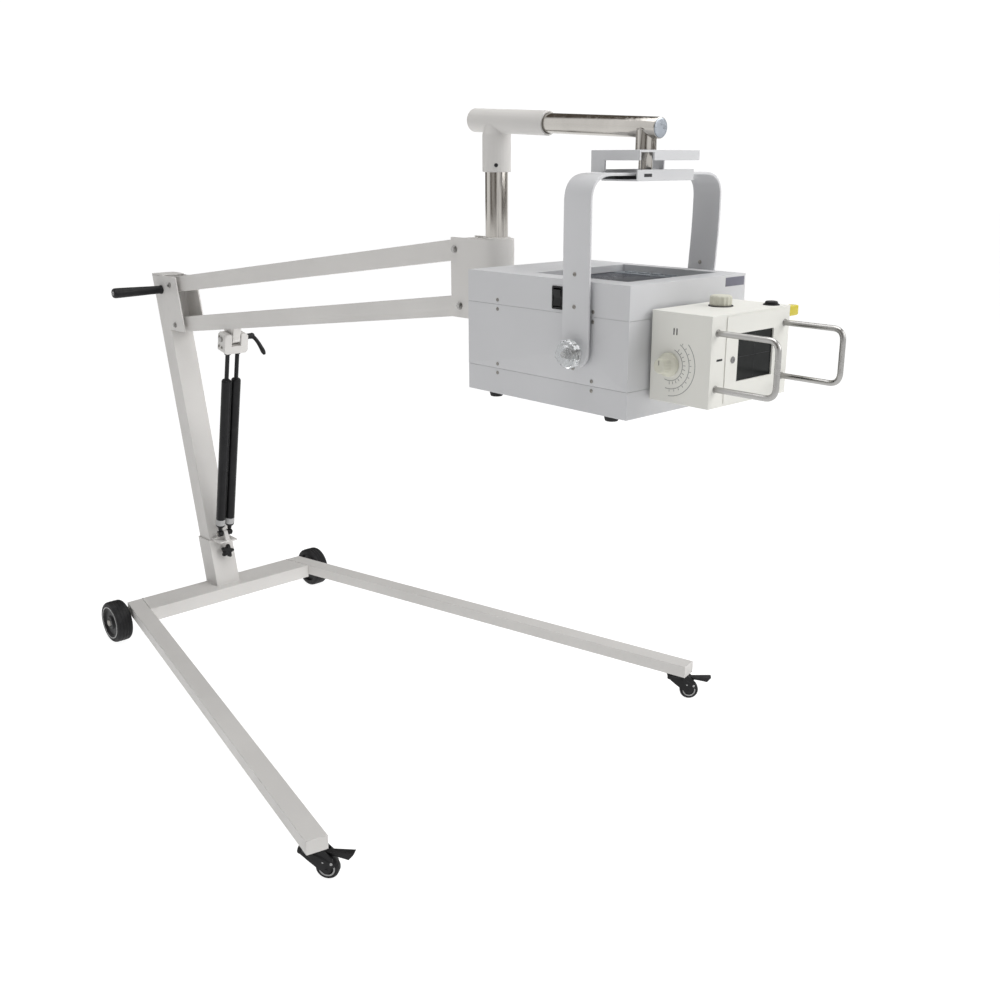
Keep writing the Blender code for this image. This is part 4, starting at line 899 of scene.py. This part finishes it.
class XRAY_OT_mast(bpy.types.Operator):
    """Finish the head bracket, the chrome post, the welded tee and the chrome arm."""

    bl_idname = "xray.mast"
    bl_label = "Mast"

    def execute(self, context):
        refined("head_bracket", "head", "frame", 0.0018)
        low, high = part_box("post")
        radius = (high.x - low.x) / 2.0
        centre = ((low.x + high.x) / 2.0, (low.y + high.y) / 2.0, low.z)
        tall = high.z - low.z
        post = [(0.0, 0.0), (radius, 0.0), (radius, tall), (0.0, tall)]
        put(
            "post_chrome",
            lathe(fillet(post, 0.0015, 4), centre, (0, 0, 1), 96),
            "mast",
            "chrome",
            nodes=("post",),
        )
        tee = refined("tee_fitting", "mast", "frame", 0.0)
        melt = tee.modifiers.new("melted", "REMESH")
        melt.mode = "VOXEL"
        melt.voxel_size = 0.0013
        melt.use_smooth_shade = True
        soft = tee.modifiers.new("softened", "SMOOTH")
        soft.iterations = 9
        soft.factor = 0.5
        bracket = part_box("head_bracket")
        collar = [
            (radius + 0.0004, 0.0),
            (radius + 0.0070, 0.0),
            (radius + 0.0062, 0.0030),
            (radius + 0.0004, 0.0034),
        ]
        put(
            "post_collar",
            lathe(fillet(collar, 0.0008, 3, closed=True), (*centre[:2], bracket[1].z), (0, 0, 1), 96),
            "head",
            "frame",
            wrap=True,
        )
        low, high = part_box("tee_fitting")
        screw = disc_screw(
            (centre[0] - 0.0215, centre[1] - 0.0215, low.z + 0.014), (-1, -1, 0), 0.0040, 0.0012
        )
        put("tee_set_screw", screw, "mast", "print")
        low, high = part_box("arm_tube")
        tube_radius = (high.x - low.x) / 2.0
        droop = math.radians(2.7)
        along = np.array([0.0, -math.cos(droop), -math.sin(droop)])
        end_z = low.z + tube_radius * math.cos(droop)
        end = np.array([(low.x + high.x) / 2.0, low.y + tube_radius * math.sin(droop), end_z])
        length = 0.395
        start = end - along * length
        arm = [
            (0.0, 0.0),
            (tube_radius, 0.0),
            (tube_radius, length - 0.0025),
            (tube_radius - 0.0012, length - 0.0022),
            (0.0, length - 0.0022),
        ]
        put(
            "arm_chrome",
            lathe(fillet(arm, 0.0008, 3), start, along, 96),
            "mast",
            "chrome",
            nodes=("arm_tube",),
        )
        cap = [
            (0.0, length - 0.003),
            (tube_radius - 0.0014, length - 0.003),
            (tube_radius - 0.0014, length - 0.0004),
            (tube_radius - 0.004, length + 0.0),
            (0.0, length),
        ]
        put("arm_end_cap", lathe(fillet(cap, 0.0008, 3), start, along, 64), "mast", "cap")
        refined("swivel_stub", "mast", "chrome", 0.0006)
        stub_low, stub_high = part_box("swivel_stub")
        middle = ((stub_low.x + stub_high.x) / 2.0, (stub_low.y + stub_high.y) / 2.0)
        turn = np.arange(96) * TAU / 96
        lift = 0.5 * (np.cos(2.0 * turn) + 1.0)
        weld = np.stack(
            [
                middle[0] + 0.0200 * np.sin(turn),
                middle[1] + 0.0200 * np.cos(turn),
                stub_high.z - 0.0115 + 0.0 * lift,
            ],
            axis=1,
        )
        weld[:, 2] -= 0.0135 * lift
        weld[:, 2] += 0.0095
        ring = tube(np.concatenate([weld, weld[:1]]), circle(0.0013, 8), (0, 0, 1))
        put("stub_weld_bead", ring[:-1], "mast", "chrome", wrap=True)
        pitch = 0.0018
        level = np.linspace(0.0, 0.038, 190)
        thread = lathe(
            np.column_stack([np.full(len(level), 0.0119), level]),
            (*middle, stub_low.z),
            (0, 0, 1),
            48,
            lambda a, d: 1.0 + 0.045 * np.cos(d * TAU / pitch + a),
        )
        put("pin_thread", thread, "mast", "dark_steel")
        return {"FINISHED"}


class XRAY_OT_yoke(bpy.types.Operator):
    """Bend the yoke's strap and finish the hanger, the nuts and the clamp knobs."""

    bl_idname = "xray.yoke"
    bl_label = "Yoke"

    def execute(self, context):
        joints = {joint["name"]: joint for joint in frame["joints"]}
        tilt = np.array(joints["head_tilt"]["pos_m"])
        low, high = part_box("yoke")
        thick = 0.005
        middle_y = (low.y + high.y) / 2.0
        half_width = (high.y - low.y) / 2.0
        foot = 0.1805 - thick / 2.0
        top_z = high.z - thick / 2.0
        left, right = low.x + thick / 2.0, high.x - thick / 2.0
        corners = [
            (tilt[0] - foot, low.z), (tilt[0] - foot, low.z + 0.10), (left, top_z - 0.10), (left, top_z)
        ]
        corners += [
            (right, top_z), (right, top_z - 0.10), (tilt[0] + foot, low.z + 0.10), (tilt[0] + foot, low.z)
        ]
        line = fillet(corners, 0.052, 16)
        step = np.linalg.norm(np.diff(line, axis=0), axis=1)
        travel = np.concatenate([[0.0], np.cumsum(step)])
        ends = half_width * (1.0 - np.cos(np.linspace(0.0, math.pi / 2.0, 20)))
        spots = np.concatenate(
            [
                ends[1:],
                np.linspace(half_width, travel[-1] - half_width, 150)[1:-1],
                travel[-1] - ends[::-1][:-1],
            ]
        )
        x = np.interp(spots, travel, line[:, 0])
        z = np.interp(spots, travel, line[:, 1])
        path = np.column_stack([x, np.full(len(x), middle_y), z])
        rise = np.minimum(np.minimum(spots, travel[-1] - spots), half_width)
        wide = np.sqrt(np.clip(half_width**2 - (half_width - rise) ** 2, 0.0, None)) / half_width
        rim = [
            (-half_width, -thick / 2),
            (half_width, -thick / 2),
            (half_width, thick / 2),
            (-half_width, thick / 2),
        ]
        section = fillet(rim, 0.0012, 3, closed=True)
        strap = tube(path, section, (0, 1, 0), np.column_stack([wide, np.ones(len(wide))]))
        put("yoke_strap", strap, "hanger", "yoke", nodes=("yoke",))
        refined("upper_hanger", "hanger", "case", 0.0010)
        refined("lower_hanger", "hanger", "case", 0.0008)
        screws = []
        for label, side in SIDES:
            face = tilt[0] + side * 0.1803
            for level in (0.141, 0.083, -0.028 + 0.0):
                screws.append(
                    disc_screw((face, middle_y + 0.003, tilt[2] + level), (side, 0, 0), 0.0040, 0.0022)
                )
        put("yoke_screws", screws, "hanger", "dark_steel")
        low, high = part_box("lower_hanger")
        # Painted shade: a near-black box on the lower hanger's face stands for the shade inside its slot.
        slot_low = (MIDDLE - 0.062, low.y - 0.0003, low.z + 0.007)
        slot_high = (MIDDLE - 0.040, low.y + 0.0015, low.z + 0.013)
        put("hanger_slot", rounded_box(slot_low, slot_high, 0.0007), "hanger", "print")
        for label, side in SIDES:
            start = (tilt[0] + side * 0.1815, tilt[1], tilt[2])
            out = (side, 0.0, 0.0)
            knob = [(0.0, 0.004), (0.0170, 0.004), (0.0250, 0.0080), (0.0260, 0.0110), (0.0260, 0.0190)]
            knob += [(0.0235, 0.0225), (0.0172, 0.0240), (0.0172, 0.0315), (0.0150, 0.0345), (0.0, 0.0345)]

            def fluted(angle, along):
                return 1.0 + 0.035 * np.cos(9.0 * angle) * (along > 0.006) * (along < 0.035)

            put(
                f"{label}_acrylic_knob",
                lathe(fillet(knob, 0.0022, 4), start, out, 108, fluted),
                f"{label}_clamp",
                "acrylic",
                nodes=(f"{label}_clamp_knob",),
            )
            core = [
                (0.0, -0.020),
                (0.0048, -0.020),
                (0.0048, 0.0),
                (0.0115, 0.0),
                (0.0115, 0.0035),
                (0.0060, 0.0042),
            ]
            core += [(0.0060, 0.026), (0.0, 0.026)]
            put(
                f"{label}_knob_stud",
                lathe(fillet(core, 0.0006, 2), start, out, 48),
                f"{label}_clamp",
                "steel",
            )
        return {"FINISHED"}


class XRAY_OT_case(bpy.types.Operator):
    """Finish the generator's case: shells, screws, screen, switch, label and feet."""

    bl_idname = "xray.case"
    bl_label = "Generator case"

    def execute(self, context):
        sizes = context.scene.xray_sizes
        for node in ("case_lower", "case_middle", "case_top"):
            refined(node, "generator", "case", sizes.sheet_corner)
        lower, upper = (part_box(node) for node in ("case_lower", "case_top"))
        left, right = lower[0].x, lower[1].x
        front, rear = lower[0].y, lower[1].y
        screws = []
        for y in (at(0, -1.519, 0)[1], at(0, -1.770, 0)[1]):
            for level in (lower[1].z, upper[0].z):
                for offset in (-0.0088, 0.0088):
                    screws.append(
                        disc_screw((left, y, level + offset), (-1, 0, 0), sizes.screw_radius, 0.0016)
                    )
                    screws.append(
                        disc_screw((right, y, level + offset), (1, 0, 0), sizes.screw_radius, 0.0016)
                    )
        for x in (left + 0.035, right - 0.035):
            for level in (lower[1].z, upper[0].z):
                for offset in (-0.0088, 0.0088):
                    screws.append(
                        disc_screw((x, rear, level + offset), (0, 1, 0), sizes.screw_radius, 0.0016)
                    )
        put("case_screws", screws, "generator", "dark_steel")
        low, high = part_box("screen")
        put(
            "display_panel",
            rounded_box(low, (high.x - 0.036, high.y, high.z), 0.0012),
            "generator",
            "screen",
            nodes=("screen",),
        )
        put(
            "control_panel",
            rounded_box((high.x - 0.0355, low.y, low.z), (high.x, high.y, high.z + 0.0008), 0.0012),
            "generator",
            "control",
        )
        keys = []
        for y in np.linspace(low.y + 0.035, high.y - 0.035, 6):
            key_low = (high.x - 0.026, y - 0.009, high.z)
            keys.append(rounded_box(key_low, (high.x - 0.010, y + 0.009, high.z + 0.0028), 0.0010))
        put("control_keys", keys, "generator", "control")
        low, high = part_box("rocker_switch")
        centre_y, centre_z = (low.y + high.y) / 2.0, (low.z + high.z) / 2.0

        def rectangle(half_y, half_z):
            corners = [(-half_z, -half_y), (half_z, -half_y), (half_z, half_y), (-half_z, half_y)]
            return fillet(corners, 0.0018, 3, closed=True)

        bezel = strip(rectangle(0.0135, 0.0210), rectangle(0.0102, 0.0178), -0.001, 0.0016)
        bezel = np.stack(
            [left - bezel[..., 2], centre_y + bezel[..., 1], centre_z + bezel[..., 0]], axis=-1
        )
        put("switch_bezel", bezel, "generator", "black", wrap=True)
        refined("rocker_switch", "switch", "black", 0.0010)
        feet = []
        height = sizes.foot_height
        for x in (left + 0.024, right - 0.024):
            for y in (at(0, -1.49, 0)[1], at(0, -1.80, 0)[1]):
                foot = [
                    (0.0, -0.0005), (0.0150, -0.0005), (0.0145, 0.0030), (0.0120, height), (0.0, height)
                ]
                feet.append(lathe(fillet(foot, 0.0016, 3), (x, y, lower[0].z), (0, 0, -1), 40))
        put("case_feet", feet, "generator", "tyre")
        label_low = at(0.105, 0.0, 1.0735)
        plate = rounded_box(
            (label_low[0], front - 0.0006, label_low[2]),
            (at(0.163, 0, 0)[0], front + 0.001, label_low[2] + 0.0165),
            0.0005,
        )
        put("blank_label", plate, "generator", "label")
        # Painted shade: a near-black band just inside the case wall at each seam stands for the shade in the
        # gap between the shells.
        seams = []
        for level in (lower[1].z, upper[0].z):
            shadow = [
                (left + 0.003, front + 0.003),
                (right - 0.003, front + 0.003),
                (right - 0.003, rear - 0.003),
                (left + 0.003, rear - 0.003),
            ]
            outline = fillet(shadow, 0.002, 3, closed=True)
            inner = np.array([(left + right) / 2, (front + rear) / 2]) + (
                outline - [(left + right) / 2, (front + rear) / 2]
            ) * 0.985
            seams.append(strip(outline, inner, level - 0.004, level + 0.004))
        put("case_seam_lining", seams, "generator", "print", wrap=True)
        for node in ("tube_tank", "inverter_board"):
            refined(node, "generator", "dark_steel" if node == "tube_tank" else "board", 0.001)
        return {"FINISHED"}


class XRAY_OT_collimator(bpy.types.Operator):
    """Finish the collimator: housing, face plate, window, dial, knobs, button, latch and handles."""

    bl_idname = "xray.collimator"
    bl_label = "Collimator"

    def execute(self, context):
        refined("collimator_housing", "generator", "cream", 0.0028)
        low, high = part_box("collimator_housing")
        left, right = MIDDLE - 0.1155, MIDDLE + 0.1155
        front = low.y
        line = context.scene.xray_sizes.line_width
        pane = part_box("collimator_window")

        def frame_of(x_low, x_high, z_low, z_high, radius):
            return fillet(
                [(x_low, z_low), (x_high, z_low), (x_high, z_high), (x_low, z_high)], radius, 4, closed=True
            )

        plate = strip(
            frame_of(MIDDLE - 0.074, right - 0.003, low.z + 0.004, high.z - 0.004, 0.003),
            frame_of(pane[0].x, pane[1].x, pane[0].z, pane[1].z, 0.0015),
            0.0,
            0.0016,
        )
        plate = np.stack([plate[..., 0], front - plate[..., 2], plate[..., 1]], axis=-1)
        put("face_plate", plate, "generator", "cream", wrap=True, bevel=0.0004)
        # Painted shade: the window's near-black colour stands for the dark inside of the housing.
        refined("collimator_window", "generator", "window", 0.0004)
        cross = []
        centre = ((pane[0].x + pane[1].x) / 2.0, (pane[0].z + pane[1].z) / 2.0)
        deep = pane[0].y - 0.0003
        cross.append(
            rounded_box(
                (centre[0] - line / 3, deep, pane[0].z),
                (centre[0] + line / 3, deep + 0.0004, pane[1].z),
                0.0001,
            )
        )
        cross.append(
            rounded_box(
                (pane[0].x, deep, centre[1] - line / 3),
                (pane[1].x, deep + 0.0004, centre[1] + line / 3),
                0.0001,
            )
        )
        put("window_cross", cross, "generator", "print")
        mark = rounded_box(
            (MIDDLE - 0.0980, front - 0.0004, TOP + 0.9725),
            (MIDDLE - 0.0820, front + 0.0004, TOP + 0.9760),
            0.0002,
        )
        put("face_mark", mark, "generator", "print")
        screw = disc_screw((MIDDLE - 0.054, front - 0.0014, TOP + 0.971), (0, -1, 0), 0.0062, 0.0022)
        put("face_screw", screw, "generator", "scale")

        joints = {joint["name"]: joint for joint in frame["joints"]}
        dial = np.array(joints["dial_turn"]["pos_m"])
        dial[0] = left

        def ribbed(angle, along):
            return 1.0 + 0.03 * np.cos(16.0 * angle) * (along > 0.0135) * (along < 0.029)

        knob = [
            (0.0, 0.0004),
            (0.0205, 0.0004),
            (0.0215, 0.003),
            (0.0205, 0.0095),
            (0.0150, 0.0125),
            (0.0138, 0.016),
        ]
        knob += [(0.0130, 0.0275), (0.0112, 0.0298), (0.0, 0.0298)]
        put(
            "shutter_dial_knob",
            lathe(fillet(knob, 0.0018, 4), dial, (-1, 0, 0), 96, ribbed),
            "dial",
            "beige",
            nodes=("shutter_dial",),
        )
        pointer = rounded_box(
            (left - 0.0300, dial[1] - 0.0007, dial[2] + 0.002),
            (left - 0.0294, dial[1] + 0.0007, dial[2] + 0.0105),
            0.0002,
        )
        put("dial_pointer", pointer, "dial", "print")
        arcs = []
        for radius, start, end in ((0.0285, 20.0, 200.0), (0.0430, 30.0, 190.0), (0.0555, 45.0, 180.0)):
            angle = np.radians(np.linspace(start, end, 60))
            path = np.stack(
                [
                    np.full(60, left - 0.0001),
                    dial[1] - radius * np.sin(angle),
                    dial[2] + radius * np.cos(angle),
                ],
                axis=1,
            )
            arcs.append(
                tube(
                    path,
                    [
                        (-0.0002, -line / 2.4),
                        (0.0002, -line / 2.4),
                        (0.0002, line / 2.4),
                        (-0.0002, line / 2.4),
                    ],
                    (1, 0, 0),
                )
            )
        for angle in np.radians(np.arange(35.0, 190.0, 13.0)):
            ray = np.array([0.0, -math.sin(angle), math.cos(angle)])
            base = np.array([left - 0.0001, dial[1], dial[2]])
            for inner, outer in ((0.0300, 0.0350), (0.0445, 0.0480)):
                path = base + ray * np.linspace(inner, outer, 3)[:, None]
                if path[:, 1].min() > front + 0.002:
                    arcs.append(
                        tube(
                            path,
                            [
                                (-0.0002, -line / 2.6),
                                (0.0002, -line / 2.6),
                                (0.0002, line / 2.6),
                                (-0.0002, line / 2.6),
                            ],
                            (1, 0, 0),
                        )
                    )
        put("dial_scale", arcs, "generator", "scale")
        ticks = []
        for offset in (-0.0032, 0.0032):
            y = at(0, -1.916, 0)[1] + offset
            ticks.append(
                rounded_box(
                    (left - 0.0003, y - 0.0011, TOP + 1.0120),
                    (left + 0.0003, y + 0.0011, TOP + 1.0235),
                    0.0001,
                )
            )
        put("housing_ticks", ticks, "generator", "print")

        low_knob, high_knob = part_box("top_knob")
        origin = ((low_knob.x + high_knob.x) / 2.0, (low_knob.y + high_knob.y) / 2.0, low_knob.z)
        profile = [
            (0.0, 0.0), (0.0175, 0.0), (0.0195, 0.003), (0.0195, 0.0165), (0.0175, 0.0190), (0.0, 0.0190)
        ]

        def scalloped(angle, along):
            return 1.0 + 0.030 * np.cos(14.0 * angle) * (along > 0.002) * (along < 0.018)

        top = lathe(fillet(profile, 0.0012, 4), origin, (0, 0, 1), 112, scalloped)
        put("lamp_knob_top", top, "lamp_knob", "beige", nodes=("top_knob",))
        base_ring = lathe(
            [(0.0202, 0.0), (0.0225, 0.0), (0.0222, 0.0012), (0.0202, 0.0012)], origin, (0, 0, 1), 80
        )
        put("lamp_knob_base", base_ring, "generator", "print", wrap=True)
        low_b, high_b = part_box("lamp_button")
        centre_b = ((low_b.x + high_b.x) / 2.0, (low_b.y + high_b.y) / 2.0, low_b.z)
        tall = high_b.z - low_b.z + 0.002
        cap = [(0.0, 0.0), (0.0118, 0.0), (0.0118, tall - 0.0020), (0.0100, tall), (0.0, tall)]
        put(
            "lamp_button_cap",
            lathe(fillet(cap, 0.001, 4), centre_b, (0, 0, 1), 64),
            "button",
            "black",
            nodes=("lamp_button",),
        )
        collar = lathe(
            [(0.0126, 0.0), (0.0152, 0.0), (0.0146, 0.0018), (0.0126, 0.0018)],
            (*centre_b[:2], high.z),
            (0, 0, 1),
            64,
        )
        put("lamp_button_collar", collar, "generator", "print", wrap=True)
        low_l, high_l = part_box("yellow_latch")
        latch = rounded_box(low_l, (high_l.x + 0.004, high_l.y, high_l.z), 0.0028, 4)
        put("latch_block", latch, "generator", "yellow", nodes=("yellow_latch",))
        for label, side in SIDES:
            low_h, high_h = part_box(f"{label}_handle")
            radius = 0.0052
            x = (low_h.x + high_h.x) / 2.0
            top_z, bottom_z = high_h.z - radius, low_h.z + radius
            tip = low_h.y + radius
            corners = [
                (x, high_h.y - 0.0002, top_z),
                (x, tip, top_z),
                (x, tip, bottom_z),
                (x, high_h.y - 0.0002, bottom_z),
            ]
            path = fillet(corners, 0.021, 14)
            step = np.concatenate([[0.0], np.cumsum(np.linalg.norm(np.diff(path, axis=0), axis=1))])
            even = np.linspace(0.0, step[-1], 120)
            path = np.stack([np.interp(even, step, path[:, axis]) for axis in range(3)], axis=1)
            put(
                f"{label}_handle_rod",
                tube(path, circle(radius, 32)),
                "generator",
                "steel",
                nodes=(f"{label}_handle",),
            )
            nuts = []
            for z in (top_z, bottom_z):
                ring = [(radius, 0.0), (radius + 0.0016, 0.0), (radius + 0.0012, 0.0014), (radius, 0.0016)]
                nuts.append(lathe(ring, (x, front - (0.0016 if side > 0 else 0.0), z), (0, -1, 0), 40))
            put(f"{label}_handle_collars", nuts, "generator", "steel", wrap=True)
        refined("collimator_shutter", "shutter", "dark_steel", 0.0004)
        return {"FINISHED"}


class XRAY_OT_stage(bpy.types.Operator):
    """Set the floor, the soft studio light and the camera."""

    bl_idname = "xray.stage"
    bl_label = "Stage"

    def execute(self, context):
        size = 30.0
        mesh = bpy.data.meshes.new("studio_floor")
        mesh.from_pydata(
            [(-size, -size, 0), (size, -size, 0), (size, size, 0), (-size, size, 0)], [], [(0, 1, 2, 3)]
        )
        floor = bpy.data.objects.new("studio_floor", mesh)
        context.scene.collection.objects.link(floor)
        g = Graph("floor_white", (0.25, 0.25, 0.25), 0.9, 0.0)
        g.set("Emission Color", (1.0, 1.0, 1.0, 1.0))
        g.set("Emission Strength", 0.94)
        mesh.materials.append(g.material)
        world = bpy.data.worlds.new("studio")
        context.scene.world = world
        world.use_nodes = True
        tree = world.node_tree
        back = tree.nodes["Background"]
        coords = tree.nodes.new("ShaderNodeTexCoord")
        parts = tree.nodes.new("ShaderNodeSeparateXYZ")
        tree.links.new(coords.outputs["Generated"], parts.inputs["Vector"])
        angle = tree.nodes.new("ShaderNodeMath")
        angle.operation = "ARCTAN2"
        tree.links.new(parts.outputs["Y"], angle.inputs[0])
        tree.links.new(parts.outputs["X"], angle.inputs[1])
        wave = tree.nodes.new("ShaderNodeMath")
        wave.operation = "MULTIPLY_ADD"
        wave.inputs[1].default_value = 3.0
        wave.inputs[2].default_value = 0.9
        tree.links.new(angle.outputs["Value"], wave.inputs[0])
        sine = tree.nodes.new("ShaderNodeMath")
        sine.operation = "SINE"
        tree.links.new(wave.outputs["Value"], sine.inputs[0])
        ramp = tree.nodes.new("ShaderNodeMapRange")
        ramp.inputs["From Min"].default_value = -0.10
        ramp.inputs["From Max"].default_value = 0.75
        tree.links.new(sine.outputs["Value"], ramp.inputs["Value"])
        studio = tree.nodes.new("ShaderNodeMix")
        studio.data_type = "RGBA"
        studio.inputs["A"].default_value = (0.10, 0.085, 0.07, 1.0)
        studio.inputs["B"].default_value = (1.0, 1.0, 1.0, 1.0)
        tree.links.new(ramp.outputs["Result"], studio.inputs["Factor"])
        path = tree.nodes.new("ShaderNodeLightPath")
        choose = tree.nodes.new("ShaderNodeMix")
        choose.data_type = "RGBA"
        choose.inputs["A"].default_value = (1.0, 1.0, 1.0, 1.0)
        tree.links.new(path.outputs["Is Glossy Ray"], choose.inputs["Factor"])
        tree.links.new(studio.outputs["Result"], choose.inputs["B"])
        tree.links.new(choose.outputs["Result"], back.inputs["Color"])
        direct = tree.nodes.new("ShaderNodeMath")
        direct.operation = "MAXIMUM"
        tree.links.new(path.outputs["Is Camera Ray"], direct.inputs[0])
        tree.links.new(path.outputs["Is Glossy Ray"], direct.inputs[1])
        strength = tree.nodes.new("ShaderNodeMapRange")
        strength.inputs["To Min"].default_value = 0.20
        strength.inputs["To Max"].default_value = 1.05
        tree.links.new(direct.outputs["Value"], strength.inputs["Value"])
        tree.links.new(strength.outputs["Result"], back.inputs["Strength"])
        for name, place, power, width in (
            ("key_light", (2.2, -3.8, 3.0), 105.0, 3.0),
            ("top_light", (0.0, -0.3, 4.8), 120.0, 3.5),
            ("side_light", (-4.0, -1.0, 2.4), 6.0, 2.5),
        ):
            data = bpy.data.lights.new(name, "AREA")
            data.energy = power
            data.size = width
            lamp = bpy.data.objects.new(name, data)
            lamp.location = place
            aim = Vector((0.0, -0.2, 0.8)) - Vector(place)
            lamp.rotation_euler = aim.to_track_quat("-Z", "Y").to_euler()
            context.scene.collection.objects.link(lamp)
        data = bpy.data.cameras.new("camera")
        data.lens = 40.79
        data.sensor_width = 36.0
        data.clip_end = 100.0
        camera = bpy.data.objects.new("camera", data)
        camera.location = at(-1.6757, -3.1468, 1.3081)
        camera.rotation_euler = (math.radians(90.0 - 16.864), math.radians(0.0), math.radians(-42.926))
        context.scene.collection.objects.link(camera)
        context.scene.camera = camera
        context.scene.view_settings.view_transform = "Standard"
        return {"FINISHED"}


class XRAY_PT_panel(bpy.types.Panel):
    """Lists the sizes, the colours and the steps."""

    bl_idname = "XRAY_PT_panel"
    bl_label = "X-ray stand"
    bl_space_type = "VIEW_3D"
    bl_region_type = "UI"
    bl_category = "X-ray stand"

    def draw(self, context):
        for group in (context.scene.xray_sizes, context.scene.xray_colours):
            for key in group.bl_rna.properties.keys():
                if key not in ("rna_type", "name"):
                    self.layout.prop(group, key)
        for step in STEPS:
            self.layout.operator(step.bl_idname)


STEPS = (
    XRAY_OT_base,
    XRAY_OT_rear_wheels,
    XRAY_OT_casters,
    XRAY_OT_grip,
    XRAY_OT_arm,
    XRAY_OT_springs,
    XRAY_OT_mast,
    XRAY_OT_yoke,
    XRAY_OT_case,
    XRAY_OT_collimator,
    XRAY_OT_stage,
)
CLASSES = (XRAY_PG_colours, XRAY_PG_sizes, *STEPS, XRAY_PT_panel)


def register():
    """Register the classes and hang the settings on the scene."""
    for cls in CLASSES:
        bpy.utils.register_class(cls)
    bpy.types.Scene.xray_colours = bpy.props.PointerProperty(type=XRAY_PG_colours)
    bpy.types.Scene.xray_sizes = bpy.props.PointerProperty(type=XRAY_PG_sizes)


def unregister():
    """Take the settings and the classes away again."""
    del bpy.types.Scene.xray_sizes
    del bpy.types.Scene.xray_colours
    for cls in reversed(CLASSES):
        bpy.utils.unregister_class(cls)


def main():
    """Register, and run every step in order."""
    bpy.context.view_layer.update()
    register()
    LOOKS.update(painted_looks(bpy.context.scene.xray_colours))
    for step in STEPS:
        area, action = step.bl_idname.split(".")
        result = getattr(getattr(bpy.ops, area), action)()
        if result != {"FINISHED"}:
            raise RuntimeError(f"{step.bl_idname} did not finish")


if __name__ == "__main__":
    main()
